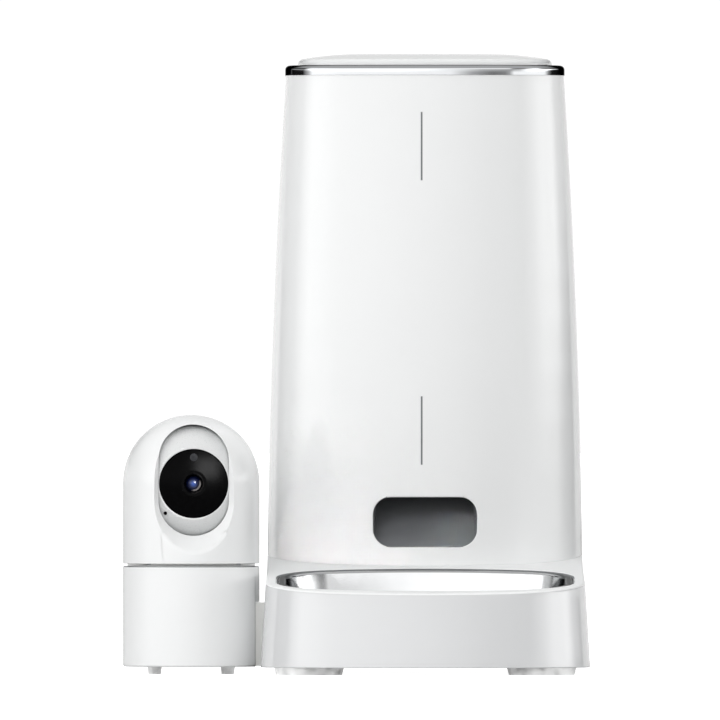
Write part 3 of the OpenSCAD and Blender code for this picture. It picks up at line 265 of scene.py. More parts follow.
class StageSettings(bpy.types.PropertyGroup):
    """Camera, floor and lights."""

    view_x: FloatProperty(
        name="View centre X", description="X at the middle of the picture",
        default=2.0 * MM, subtype="DISTANCE", unit="LENGTH",
    )
    view_z: FloatProperty(
        name="View centre Z", description="Height at the middle of the picture",
        default=166.7 * MM, subtype="DISTANCE", unit="LENGTH",
    )
    view_width: FloatProperty(
        name="View width", description="Width of the picture at the front of the tower",
        default=382.9 * MM, subtype="DISTANCE", unit="LENGTH",
    )
    view_distance: FloatProperty(
        name="View distance", description="From the camera to the front of the tower",
        default=17.0, subtype="DISTANCE", unit="LENGTH",
    )
    floor_radius: FloatProperty(
        name="Floor radius", description="Radius of the floor",
        default=40.0, subtype="DISTANCE", unit="LENGTH",
    )
    room: FloatProperty(
        name="Room", description="Brightness of the room's walls and ceiling",
        default=0.93,
    )
    glow: FloatProperty(
        name="Floor glow", description="Brightness of the lit table as the camera sees it",
        default=1.0,
    )
    key: FloatProperty(
        name="Key", description="Power of the softbox above the camera",
        default=13.0, subtype="POWER", unit="POWER",
    )
    left: FloatProperty(
        name="Left", description="Power of the left softbox",
        default=8.5, subtype="POWER", unit="POWER",
    )
    right: FloatProperty(
        name="Right", description="Power of the right softbox",
        default=2.0, subtype="POWER", unit="POWER",
    )
    back: FloatProperty(
        name="Back", description="Power of the softbox behind the object",
        default=5.0, subtype="POWER", unit="POWER",
    )
    glint: FloatProperty(
        name="Glint", description="Power of the small softbox that shows in the lens",
        default=54.0, subtype="POWER", unit="POWER",
    )
    fill: FloatProperty(
        name="Fill", description="Power of the narrow lamp on the tower's lower left",
        default=0.0055, subtype="POWER", unit="POWER",
    )
    outlet: FloatProperty(
        name="Outlet", description="Power of the narrow lamp into the outlet",
        default=0.02, subtype="POWER", unit="POWER",
    )
    top: FloatProperty(
        name="Top", description="Power of the overhead softbox",
        default=10.0, subtype="POWER", unit="POWER",
    )


# How bright the room is by bearing from the camera's side, in degrees to the right: at eye level, low on
# the walls, high on the walls, and on the ceiling.
ROOM_HORIZON = (
    (-180, 1.1), (-136, 1.1), (-130, 0.01), (-100, 0.01), (-88, 0.6), (-80, 1.4), (10, 1.2), (18, 0.5),
    (26, 0.22), (31, 0.3), (40, 1.3), (95, 1.3), (104, 0.3), (112, 0.01), (134, 0.01), (140, 0.95),
    (180, 0.95),
)
ROOM_WALLS = (
    (-180, 0.85), (-140, 0.8), (-122, 0.5), (-98, 0.5), (-90, 1.6), (-76, 2.8), (-54, 2.6), (-40, 2.3),
    (-22, 2.0), (0, 1.5), (15, 1.0), (22, 0.6), (35, 0.45), (50, 0.7), (64, 1.9), (80, 3.6), (104, 3.6),
    (118, 1.4), (140, 0.9), (180, 0.9),
)
ROOM_UPPER = (
    (-180, 0.75), (-168, 0.75), (-162, 0.05), (-98, 0.05), (-88, 1.3), (33, 1.3), (39, 0.4), (46, 0.2),
    (58, 0.25), (68, 0.9), (74, 1.3), (84, 1.3), (92, 0.3), (100, 0.05), (162, 0.05), (168, 0.75),
    (180, 0.75),
)
ROOM_CEILING = ((-180, 0.5), (180, 0.5))
# Each level of the room above the first, with the heights between which it takes over, as sines.
ROOM_LEVELS = ((ROOM_WALLS, 0.03, 0.05), (ROOM_UPPER, 0.13, 0.2), (ROOM_CEILING, 0.34, 0.6))


SETTINGS = {
    "feeder_finish": FinishSettings,
    "feeder_moulding": MouldingSettings,
    "feeder_stage": StageSettings,
}


def finish():
    """The colours in use."""
    return bpy.context.scene.feeder_finish


def moulding():
    """The added sizes in use."""
    return bpy.context.scene.feeder_moulding


def stage_settings():
    """The stage's values in use."""
    return bpy.context.scene.feeder_stage


def linear(code):
    """An sRGB hex value as linear RGBA."""
    parts = [int(code[i : i + 2], 16) / 255 for i in (1, 3, 5)]
    return [c / 12.92 if c <= 0.04045 else ((c + 0.055) / 1.055) ** 2.4 for c in parts] + [1.0]


def add_node(tree, kind, settings=None, inputs=None, links=None):
    """A new node with its settings, its inputs' values and the sockets that feed it."""
    node = tree.nodes.new(kind)
    for name, value in (settings or {}).items():
        setattr(node, name, value)
    for name, value in (inputs or {}).items():
        node.inputs[name].default_value = value
    for name, socket in (links or {}).items():
        tree.links.new(socket, node.inputs[name])
    return node


def set_ramp(ramp, stops):
    """Grey stops along a colour ramp."""
    while len(ramp.elements) > 1:
        ramp.elements.remove(ramp.elements[-1])
    for index, (place, level) in enumerate(stops):
        element = ramp.elements[0] if index == 0 else ramp.elements.new(place)
        element.position = place
        element.color = (level, level, level, 1)


def per_mm(size):
    """The texture scale whose features are about size millimetres across."""
    return 1 / (size * MM)


def blank_material(name, values):
    """A named material with its shader's own values set, and the place that its patterns read."""
    material = bpy.data.materials.get(name)
    if material:
        return material, None, None, None
    material = bpy.data.materials.new(name)
    material.use_nodes = True
    tree = material.node_tree
    tree.nodes.clear()
    shader = add_node(tree, "ShaderNodeBsdfPrincipled", inputs=values)
    add_node(tree, "ShaderNodeOutputMaterial", links={"Surface": shader.outputs["BSDF"]})
    place = add_node(tree, "ShaderNodeTexCoord").outputs["Object"]
    return material, tree, shader, place


def vary(tree, shader, clouds, code, darker, span=PATTERN_SPAN, grain=None, rough=None, depth_mm=0, bump=0):
    """A surface's small differences: of colour by clouds, and of roughness and height by grain."""
    full = linear(code)
    low = [c * darker for c in full[:3]] + [1.0]
    ends = {"From Min": span[0], "From Max": span[1]}
    share = add_node(tree, "ShaderNodeMapRange", {"clamp": True}, ends, {"Value": clouds}).outputs["Result"]
    mixed = add_node(tree, "ShaderNodeMix", {"data_type": "RGBA"}, {"A": low, "B": full}, {"Factor": share})
    tree.links.new(mixed.outputs["Result"], shader.inputs["Base Color"])
    if rough:
        ends.update({"To Min": rough[0], "To Max": rough[1]})
        dull = add_node(tree, "ShaderNodeMapRange", {"clamp": True}, ends, {"Value": grain})
        tree.links.new(dull.outputs["Result"], shader.inputs["Roughness"])
    if depth_mm:
        height = {"Strength": bump, "Distance": depth_mm * MM}
        raised = add_node(tree, "ShaderNodeBump", None, height, {"Height": grain})
        tree.links.new(raised.outputs["Normal"], shader.inputs["Normal"])


# Injection-moulded ABS from a polished tool: mirror-like, with a faint orange peel a few millimetres across.
def gloss_abs(name, code, rough=0.13, coat=0.5, shine=0.5, peel_mm=5, haze_mm=26):
    values = {"IOR": 1.53, "Roughness": rough, "Specular IOR Level": shine, "Coat Weight": coat}
    values["Coat Roughness"] = rough * 0.6
    material, tree, shader, place = blank_material(name, values)
    if tree:
        waves = {"Scale": per_mm(peel_mm), "Detail": 1.5, "Roughness": 0.4}
        peel = add_node(tree, "ShaderNodeTexNoise", None, waves, {"Vector": place}).outputs["Fac"]
        cloud = {"Scale": per_mm(haze_mm), "Detail": 3}
        haze = add_node(tree, "ShaderNodeTexNoise", None, cloud, {"Vector": place}).outputs["Fac"]
        vary(tree, shader, haze, code, darker=0.985, span=(0, 1), grain=peel, depth_mm=0.012, bump=0.25)
    return material


# Moulding from a spark-eroded tool: an even satin grain, drawn at about half a millimetre so that it shows.
def satin_moulding(name, code, rough=0.36, grain_mm=0.6, depth_mm=0.02, flow_mm=18):
    material, tree, shader, place = blank_material(name, {"IOR": 1.5})
    if tree:
        fine = {"Scale": per_mm(grain_mm), "Detail": 2}
        grain = add_node(tree, "ShaderNodeTexNoise", None, fine, {"Vector": place}).outputs["Fac"]
        broad = {"Scale": per_mm(flow_mm), "Detail": 2}
        flow = add_node(tree, "ShaderNodeTexNoise", None, broad, {"Vector": place}).outputs["Fac"]
        dull = (rough, rough + 0.1)
        vary(tree, shader, flow, code, darker=0.95, grain=grain, rough=dull, depth_mm=depth_mm, bump=0.35)
    return material


def painted_dark_reflection(tree, shader, code, low, high):
    """Painted reflection: a metal's colour is darkened where it is seen at a glancing angle, standing in for
    a dark studio that shows in it.
    """
    facing = add_node(tree, "ShaderNodeLayerWeight", None, {"Blend": 0.5}).outputs["Facing"]
    smooth, ends = {"interpolation_type": "SMOOTHSTEP"}, {"From Min": low, "From Max": high}
    share = add_node(tree, "ShaderNodeMapRange", smooth, ends, {"Value": facing}).outputs["Result"]
    plain = shader.inputs["Base Color"].links[0].from_socket
    feeds = {"Factor": share, "A": plain}
    mixed = add_node(tree, "ShaderNodeMix", {"data_type": "RGBA"}, {"B": linear(code)}, feeds)
    tree.links.new(mixed.outputs["Result"], shader.inputs["Base Color"])


# Deep-drawn stainless steel, polished: clear reflections, broken by hairlines along X that are drawn half a
# millimetre apart so that they show.
def polished_steel(name, code, rough=0.12, hair_mm=0.5, cloud_mm=14):
    values = {"Metallic": 1.0, "Specular Tint": (0.3, 0.3, 0.3, 1)}
    material, tree, shader, place = blank_material(name, values)
    if tree:
        drawn_out = {"Scale": (0.03, 1.0, 1.0)}
        along = add_node(tree, "ShaderNodeMapping", None, drawn_out, {"Vector": place}).outputs["Vector"]
        fine = {"Scale": per_mm(hair_mm), "Detail": 3}
        hair = add_node(tree, "ShaderNodeTexNoise", None, fine, {"Vector": along}).outputs["Fac"]
        broad = {"Scale": per_mm(cloud_mm), "Detail": 2}
        cloud = add_node(tree, "ShaderNodeTexNoise", None, broad, {"Vector": place}).outputs["Fac"]
        dull = (rough, rough + 0.07)
        vary(tree, shader, cloud, code, darker=0.96, grain=hair, rough=dull, depth_mm=0.002, bump=0.15)
        # Painted reflection: the steel darkens at a glancing angle, where a dark studio would show in it.
        painted_dark_reflection(tree, shader, STEEL_PAINTED_REFLECTION, low=0.4, high=0.85)
    return material


# Chrome plate over ABS: the clearest mirror on the object, with only a trace of handling haze.
def chrome_plate(name, code, haze_mm=9):
    values = {"Metallic": 1.0, "Specular Tint": (0.02, 0.02, 0.02, 1)}
    material, tree, shader, place = blank_material(name, values)
    if tree:
        cloud = {"Scale": per_mm(haze_mm), "Detail": 4}
        haze = add_node(tree, "ShaderNodeTexNoise", None, cloud, {"Vector": place}).outputs["Fac"]
        vary(tree, shader, haze, code, darker=0.97, grain=haze, rough=(0.02, 0.05))
        # Painted reflection: the chrome turns near-black at a glancing angle, where dark flags would show in
        # it.
        painted_dark_reflection(tree, shader, CHROME_PAINTED_REFLECTION, low=0.5, high=0.66)
    return material


# Plated steel: dull silver with small spangled patches.
def plated_steel(name, code, rough=0.3, spangle_mm=1.4):
    material, tree, shader, place = blank_material(name, {"Metallic": 1.0})
    if tree:
        patches = {"Scale": per_mm(spangle_mm)}
        spangle = add_node(tree, "ShaderNodeTexVoronoi", None, patches, {"Vector": place}).outputs["Distance"]
        vary(tree, shader, spangle, code, darker=0.85, grain=spangle, rough=(rough, rough + 0.12))
    return material


# Moulded rubber: soft sheen and no clear reflections, with a matt grain drawn coarse enough to show.
def moulded_rubber(name, code, rough=0.45, grain_mm=0.9):
    material, tree, shader, place = blank_material(name, {"IOR": 1.5, "Sheen Weight": 0.1})
    if tree:
        fine = {"Scale": per_mm(grain_mm), "Detail": 3}
        grain = add_node(tree, "ShaderNodeTexNoise", None, fine, {"Vector": place}).outputs["Fac"]
        dull = (rough, rough + 0.15)
        vary(tree, shader, grain, code, darker=0.9, grain=grain, rough=dull, depth_mm=0.03, bump=0.4)
    return material


# Clear soft rubber: milky and smooth, lit from within by the table, which is given as a faint emission.
def clear_rubber(name, code, cloud_mm=6):
    values = {"IOR": 1.42, "Emission Color": (1, 1, 1, 1), "Coat Weight": 0.6, "Coat Roughness": 0.05}
    material, tree, shader, place = blank_material(name, values)
    if tree:
        broad = {"Scale": per_mm(cloud_mm), "Detail": 1}
        cloud = add_node(tree, "ShaderNodeTexNoise", None, broad, {"Vector": place}).outputs["Fac"]
        vary(tree, shader, cloud, code, darker=0.94, grain=cloud, rough=(0.12, 0.22))
        ends = {"From Min": PATTERN_SPAN[0], "From Max": PATTERN_SPAN[1], "To Min": 0.15, "To Max": 0.5}
        lit = add_node(tree, "ShaderNodeMapRange", {"clamp": True}, ends, {"Value": cloud}).outputs["Result"]
        tree.links.new(lit, shader.inputs["Emission Strength"])
    return material


# Black acrylic with a reflection-reducing coat: a near-black body, a faint soft sheen, the odd speck of dust.
def black_acrylic(name, code, rough=0.2, speck_mm=2.5):
    material, tree, shader, place = blank_material(name, {"IOR": 1.49, "Specular IOR Level": 0.035})
    if tree:
        specks = {"Scale": per_mm(speck_mm), "Detail": 4}
        dust = add_node(tree, "ShaderNodeTexNoise", None, specks, {"Vector": place}).outputs["Fac"]
        vary(tree, shader, dust, code, darker=0.6, grain=dust, rough=(rough, rough + 0.03))
    return material


# Coated optical glass: a painted blue reflection of the coating, bright at the pupil and falling off to black
# at the rim, and a painted pale arc, the reflection of an inner element, at the lower right, under a clear
# surface.
def coated_glass(name, middle, radius, pupil="#4A6FD0", iris="#121C48", rim="#050609", glare="#C4BDBC"):
    material, tree, shader, place = blank_material(name, {"IOR": 1.5, "Roughness": 0.02})
    if tree:
        unit = {"Location": -middle / radius, "Scale": [1 / radius] * 3}
        centred = add_node(tree, "ShaderNodeMapping", None, unit, {"Vector": place}).outputs["Vector"]
        front = {"Scale": (1, 0, 1)}
        flat = add_node(tree, "ShaderNodeMapping", None, front, {"Vector": centred}).outputs["Vector"]
        ball = {"gradient_type": "SPHERICAL"}
        fall = add_node(tree, "ShaderNodeTexGradient", ball, None, {"Vector": flat}).outputs["Fac"]
        # Painted reflection: the coating's blue, falling off to black at the rim.
        bloom = add_node(tree, "ShaderNodeValToRGB", None, None, {"Fac": fall})
        bloom.color_ramp.elements[0].color = linear(rim)
        bloom.color_ramp.elements[1].color = linear(pupil)
        bloom.color_ramp.elements.new(0.5).color = linear(iris)
        # Painted reflection: the pale arc of an inner element at the lower right.
        ring = add_node(tree, "ShaderNodeValToRGB", None, None, {"Fac": fall})
        set_ramp(ring.color_ramp, GLARE_RING)
        dot = {"operation": "DOT_PRODUCT"}
        toward = add_node(tree, "ShaderNodeVectorMath", dot, {1: GLARE_SIDE}, {0: flat}).outputs["Value"]
        ends = {"From Min": GLARE_START, "From Max": GLARE_FULL}
        side = add_node(tree, "ShaderNodeMapRange", None, ends, {"Value": toward}).outputs["Result"]
        masks = {0: ring.outputs["Color"], 1: side}
        arc = add_node(tree, "ShaderNodeMath", {"operation": "MULTIPLY"}, None, masks).outputs["Value"]
        feeds = {"Factor": arc, "A": bloom.outputs["Color"]}
        lit = add_node(tree, "ShaderNodeMix", {"data_type": "RGBA"}, {"B": linear(glare)}, feeds)
        tree.links.new(lit.outputs["Result"], shader.inputs["Base Color"])
    return material


# Glass-epoxy board under green solder mask, with pale tracks about 1.5 mm apart.
def circuit_board(name, code, cell_mm=6):
    material, tree, shader, place = blank_material(name, {"IOR": 1.55, "Roughness": 0.32})
    if tree:
        layout = {"Scale": per_mm(cell_mm), "Mortar Size": 0.03, "Brick Width": 0.9, "Row Height": 0.25}
        layout.update({"Color1": linear(code), "Color2": linear(code), "Mortar": linear(TRACK_GREEN)})
        tracks = add_node(tree, "ShaderNodeTexBrick", None, layout, {"Vector": place})
        tree.links.new(tracks.outputs["Color"], shader.inputs["Base Color"])
        height = {"Strength": 0.3, "Distance": 0.03 * MM}
        raised = add_node(tree, "ShaderNodeBump", None, height, {"Height": tracks.outputs["Fac"]})
        tree.links.new(raised.outputs["Normal"], shader.inputs["Normal"])
    return material


# Screen-printed ink: matt, slightly mottled by the mesh, which is drawn coarser than it is so that it shows.
def screen_ink(name, code, mesh_mm=0.4):
    material, tree, shader, place = blank_material(name, {"IOR": 1.45})
    if tree:
        fine = {"Scale": per_mm(mesh_mm), "Detail": 2}
        mesh = add_node(tree, "ShaderNodeTexNoise", None, fine, {"Vector": place}).outputs["Fac"]
        vary(tree, shader, mesh, code, darker=0.85, grain=mesh, rough=(0.5, 0.65))
    return material


# White studio paper on a lit table: matt, and as bright as the backdrop where the camera sees it.
def studio_paper(name, glow, fibre_mm=30):
    values = {"Roughness": 0.8, "Specular IOR Level": 0.2, "Emission Color": (1, 1, 1, 1)}
    material, tree, shader, place = blank_material(name, values)
    if tree:
        broad = {"Scale": per_mm(fibre_mm), "Detail": 3}
        fibre = add_node(tree, "ShaderNodeTexNoise", None, broad, {"Vector": place}).outputs["Fac"]
        vary(tree, shader, fibre, PAPER_WHITE, darker=0.99)
        path = add_node(tree, "ShaderNodeLightPath").outputs
        rays = {0: path["Is Camera Ray"], 1: path["Is Transmission Ray"]}
        seen = add_node(tree, "ShaderNodeMath", {"operation": "MAXIMUM"}, None, rays).outputs["Value"]
        lit = add_node(tree, "ShaderNodeMath", {"operation": "MULTIPLY"}, {1: glow}, {0: seen})
        tree.links.new(lit.outputs["Value"], shader.inputs["Emission Strength"])
    return material


def white_gloss():
    """Finish of the tower and the lid."""
    return gloss_abs("ABS, white gloss", finish().shell)


def inner_white():
    """Finish of the white mouldings inside and under the object."""
    return satin_moulding("Polypropylene, white satin", finish().inner)


def grey_satin():
    """Finish of the chute, the rotor and other grey mouldings."""
    return satin_moulding("ABS, grey satin", finish().chute)


def black_satin():
    """Finish of brackets, boxes and other black mouldings."""
    return satin_moulding("Polyamide, black satin", finish().dark)


def zinc_plate():
    """Finish of screws, shafts and the pinion."""
    return plated_steel("Steel, zinc-plated", finish().zinc)


def nickel_plate():
    """Finish of motors and sockets."""
    return plated_steel("Steel, nickel-plated", finish().nickel, rough=0.2)


def silicone():
    """Finish of the seal and the wipers."""
    return moulded_rubber("Silicone rubber", finish().seal)


def clear_foot():
    """Finish of the feet under the base and the camera."""
    return clear_rubber("Thermoplastic rubber, clear", finish().foot)


def green_board():
    """Finish of the circuit boards."""
    return circuit_board("Glass-epoxy board", finish().board)


def dress(material, *nodes):
    """A CAD node keeps its shape and takes a finish."""
    for node in nodes:
        slots = NODES[node].data.materials
        slots.clear()
        slots.append(material)


def new_piece(name, bm, material, body):
    """A finished mesh as a piece that rides on a body."""
    mesh = bpy.data.meshes.new(name)
    bm.to_mesh(mesh)
    bm.free()
    if "custom_normal" in mesh.attributes:
        mesh.attributes.remove(mesh.attributes["custom_normal"])
    mesh.materials.append(material)
    piece = bpy.data.objects.new(name, mesh)
    bpy.context.scene.collection.objects.link(piece)
    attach(piece, body)
    return piece


def merged(node):
    """A copy of a CAD node as one merged mesh, with its flat faces whole."""
    bm = bmesh.new()
    bm.from_mesh(NODES[node].data)
    bmesh.ops.remove_doubles(bm, verts=bm.verts, dist=0.002 * MM)
    bmesh.ops.dissolve_limit(
        bm, angle_limit=math.radians(0.05), use_dissolve_boundaries=False, verts=bm.verts, edges=bm.edges
    )
    for face in bm.faces:
        face.smooth = True
        face.material_index = 0
    return bm


def front_of(node, rise=0):
    """The middle of a node's front, at a height in millimetres above its lowest point."""
    low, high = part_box(node)
    return Vector(((low.x + high.x) / 2, low.y, low.z + rise * MM))


def sharp_run(bm, place, turn=SHARP_TURN):
    """The run of sharp edges that passes nearest to a place."""
    low, high = (math.radians(t) for t in turn)
    sharp = {e for e in bm.edges if e.is_convex and low < e.calc_face_angle(0) < high}
    first = min(sharp, key=lambda e: ((e.verts[0].co + e.verts[1].co) / 2 - place).length)
    run, ends = {first}, [first]
    while ends:
        near = {e for vert in ends.pop().verts for e in vert.link_edges if e in sharp} - run
        run |= near
        ends.extend(near)
    return list(run)


def round_run(bm, place, radius, turn=SHARP_TURN):
    """A moulded radius along a run of sharp edges."""
    bmesh.ops.bevel(
        bm, geom=sharp_run(bm, place, turn), offset=radius, offset_type="OFFSET", affect="EDGES",
        segments=moulding().edge_steps, profile=0.5, material=-1, clamp_overlap=False,
    )


def moulded(node, bm, *materials, sharp_degrees=32):
    """The worked copy takes the CAD node's place, with smooth faces between its sharp edges."""
    record = frame["record"]
    body = next(b for b, members in record["behaviour"]["bodies"].items() if node in members)
    for edge in bm.edges:
        edge.smooth = edge.calc_face_angle(0) < math.radians(sharp_degrees)
    piece = new_piece(node + "_moulded", bm, materials[0], body)
    for material in materials[1:]:
        piece.data.materials.append(material)
    even = piece.modifiers.new("Even shading", "WEIGHTED_NORMAL")
    even.keep_sharp = True
    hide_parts(node)
    return piece


def light_only(lamp, pieces):
    """Limits a lamp to some pieces."""
    lit = bpy.data.collections.new(lamp + " receivers")
    for piece in pieces:
        lit.objects.link(piece)
    bpy.data.objects[lamp].light_linking.receiver_collection = lit


class FEEDER_OT_stage(bpy.types.Operator):
    """Camera, pale floor and soft studio light"""

    bl_idname = "feeder.stage"
    bl_label = "Studio stage"

    def execute(self, context):
        scene = context.scene
        scene.view_settings.view_transform = "Standard"
        self.studio_camera(scene)
        self.floor(scene)
        self.room(scene)
        self.lamps(scene)
        return {"FINISHED"}

    def studio_camera(self, scene):
        """A long lens, level with the object's middle."""
        s = stage_settings()
        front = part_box("tower_shell")[0].y
        camera = bpy.data.objects.new("Studio camera", bpy.data.cameras.new("Studio camera"))
        scene.collection.objects.link(camera)
        camera.location = (s.view_x, front - s.view_distance, s.view_z)
        camera.rotation_euler = (math.radians(90), 0, 0)
        camera.data.lens = camera.data.sensor_width * s.view_distance / s.view_width
        camera.data.clip_end = VIEW_END
        scene.camera = camera

    def floor(self, scene):
        """A round floor at the foot of the solids."""
        s = stage_settings()
        bm = bmesh.new()
        bmesh.ops.create_circle(bm, cap_ends=True, segments=96, radius=s.floor_radius)
        floor_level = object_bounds()[0].z
        bmesh.ops.translate(bm, verts=bm.verts, vec=(0, 0, floor_level))
        mesh = bpy.data.meshes.new("Floor")
        bm.to_mesh(mesh)
        bm.free()
        mesh.materials.append(studio_paper("White studio paper", s.glow))
        floor = bpy.data.objects.new("Floor", mesh)
        scene.collection.objects.link(floor)
        floor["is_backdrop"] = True

    def lamps(self, scene):
        """Softboxes round the object, the last for the eye's glint alone, and two narrow lamps."""
        s = stage_settings()
        middle = Vector((s.view_x, 0, s.view_z))
        # Each row gives a name, a place and a size in metres, a power, and whether gloss shows it.
        for name, place, size, power, shows in (
            ("Key softbox", (-0.75, -2.45, 1.45), (1.0, 1.0), s.key, False),
            ("Left softbox", (-2.3, -1.4, 1.2), (1.2, 1.6), s.left, False),
            ("Right softbox", (2.4, -0.4, 0.9), (0.8, 1.2), s.right, False),
            ("Overhead softbox", (0.0, -0.2, 2.0), (1.8, 1.8), s.top, False),
            ("Back softbox", (0.4, 2.6, 0.9), (1.4, 1.0), s.back, False),
            ("Glint softbox", (0.78, -2.85, 0.72), (0.9, 0.8), s.glint, True),
        ):
            self.softbox(scene, name, Vector(place), middle, size, power, shows)
        # Each row gives a name, a place in metres, an aim in millimetres, a beam in degrees and a power.
        for name, place, aim, angle, power in (
            ("Tower fill", (-0.25, -1.6, 0.12), (-22, 0, 68), 5, s.fill),
            ("Outlet fill", (-0.45, -1.6, 0.35), (86, 10, 48), 3.2, s.outlet),
        ):
            lamp = self.softbox(scene, name, Vector(place), Vector(aim) * MM, NARROW_LAMP, power)
            lamp.data.spread = math.radians(angle)

    def softbox(self, scene, name, place, aim, size, power, shows=False):
        """An area lamp that lights matt surfaces, or with shows one that only gloss shows."""
        light = bpy.data.lights.new(name, "AREA")
        light.shape = "RECTANGLE"
        light.size, light.size_y = size
        light.energy = power
        lamp = bpy.data.objects.new(name, light)
        scene.collection.objects.link(lamp)
        lamp.visible_camera = False
        lamp.visible_glossy = shows
        lamp.visible_diffuse = not shows
        lamp.location = place
        lamp.rotation_euler = (aim - place).to_track_quat("-Z", "Y").to_euler()
        return lamp

    def room(self, scene):
        """A white room with bright walls to the left and right of the camera and dark flags at both sides."""
        world = bpy.data.worlds.new("Studio room")
        scene.world = world
        world.use_nodes = True
        tree = world.node_tree
        tree.nodes.clear()
        direction = add_node(tree, "ShaderNodeTexCoord").outputs["Generated"]
        axes = add_node(tree, "ShaderNodeSeparateXYZ", None, None, {"Vector": direction}).outputs
        times = {"operation": "MULTIPLY"}
        turned = add_node(tree, "ShaderNodeMath", times, {1: -1.0}, {0: axes["Y"]}).outputs["Value"]
        angle = {"operation": "ARCTAN2"}
        bearing = add_node(tree, "ShaderNodeMath", angle, None, {0: axes["X"], 1: turned}).outputs["Value"]
        circle = {"From Min": -math.pi, "From Max": math.pi}
        share = add_node(tree, "ShaderNodeMapRange", None, circle, {"Value": bearing}).outputs["Result"]
        light = self.ring_of_walls(tree, share, ROOM_HORIZON)
        for stops, low, high in ROOM_LEVELS:
            level = self.ring_of_walls(tree, share, stops)
            ends = {"From Min": low, "From Max": high}
            rise = add_node(tree, "ShaderNodeMapRange", {"clamp": True}, ends, {"Value": axes["Z"]})
            feeds = {"Factor": rise.outputs["Result"], "A": light, "B": level}
            light = add_node(tree, "ShaderNodeMix", {"data_type": "RGBA"}, None, feeds).outputs["Result"]
        strength = {"Strength": stage_settings().room}
        room = add_node(tree, "ShaderNodeBackground", None, strength, {"Color": light})
        white = add_node(tree, "ShaderNodeBackground", None, {"Color": (1, 1, 1, 1), "Strength": BACKDROP})
        seen = add_node(tree, "ShaderNodeLightPath").outputs["Is Camera Ray"]
        sides = {0: seen, 1: room.outputs[0], 2: white.outputs[0]}
        both = add_node(tree, "ShaderNodeMixShader", None, None, sides)
        add_node(tree, "ShaderNodeOutputWorld", links={"Surface": both.outputs[0]})

    def ring_of_walls(self, tree, share, stops):
        """One level of the room, by bearing."""
        walls = add_node(tree, "ShaderNodeValToRGB", None, None, {"Fac": share})
        set_ramp(walls.color_ramp, [((degrees + 180) / 360, level) for degrees, level in stops])
        return walls.outputs["Color"]


class FEEDER_OT_base(bpy.types.Operator):
    """Tray base with its bowl, plate, feet and power parts"""

    bl_idname = "feeder.base"
    bl_label = "Tray base"

    def execute(self, context):
        self.tray()
        dress(inner_white(), "base_plate", "battery_door")
        dress(black_satin(), "battery_box")
        dress(plated_steel("Nickel-plated cell can", finish().can, rough=0.22), "battery_cells")
        dress(clear_foot(), "base_feet")
        dress(zinc_plate(), "base_screws")
        dress(green_board(), "main_board")
        dress(nickel_plate(), "power_socket")
        dress(grey_satin(), "feed_button")
        self.bowl()
        return {"FINISHED"}

    def tray(self):
        """The tray: its sides in a greyer gloss as painted shade, its satin deck in a whiter colour as
        painted light, and a grey wall round the bowl as painted shade.
        """
        f = finish()
        m = moulding()
        low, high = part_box("steel_bowl")
        middle = (low + high) / 2
        shell = merged("base_shell")
        round_run(shell, front_of("base_shell", DECK_EDGE), m.rim_edge)
        round_run(shell, Vector((middle.x, high.y, high.z)), m.shell_edge)
        round_run(shell, front_of("base_shell"), m.shell_edge)
        shell.normal_update()
        # Lit and shaded copies of one white: faces that look up take the whiter deck as painted light, and
        # the other outer faces keep the greyer gloss as painted shade.
        for face in shell.faces:
            at = face.calc_center_median()
            inward = face.normal.xy.dot((middle - at).xy) > 0
            wall = abs(face.normal.z) < WALL_RISE and at.z > RECESS_LOW * MM
            beside = low.x - MM < at.x < high.x + MM and at.y < high.y + MM
            upper = face.normal.z > WALL_RISE and at.z > DECK_LOW * MM
            # Painted shade: the inward walls round the bowl take the grey recess material.
            face.material_index = 2 if inward and wall and beside else int(upper)
        shaded_sides = gloss_abs("ABS, white gloss, painted shade", f.base, rough=0.12, coat=0.9)
        deck = gloss_abs("ABS, white satin deck, painted light", f.camera, rough=0.4, coat=0, shine=0.06)
        moulded("base_shell", shell, shaded_sides, deck, satin_moulding("ABS, grey satin recess", f.recess_shade))

    def bowl(self):
        """The bowl, whose flange is drawn in at both sides to clear the deck's rounded edge."""
        bowl = merged("steel_bowl")
        low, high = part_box("steel_bowl")
        middle = (low + high) / 2
        rim = set()
        for height in (high.z, high.z - FLANGE_THICKNESS * MM):
            for edge in sharp_run(bowl, Vector((low.x, middle.y, height))):
                rim.update(edge.verts)
        narrower = 1 - moulding().rim_edge / (high.x - middle.x)
        for vert in rim:
            vert.co.x = middle.x + (vert.co.x - middle.x) * narrower
        moulded("steel_bowl", bowl, polished_steel("Stainless steel, polished", finish().steel))


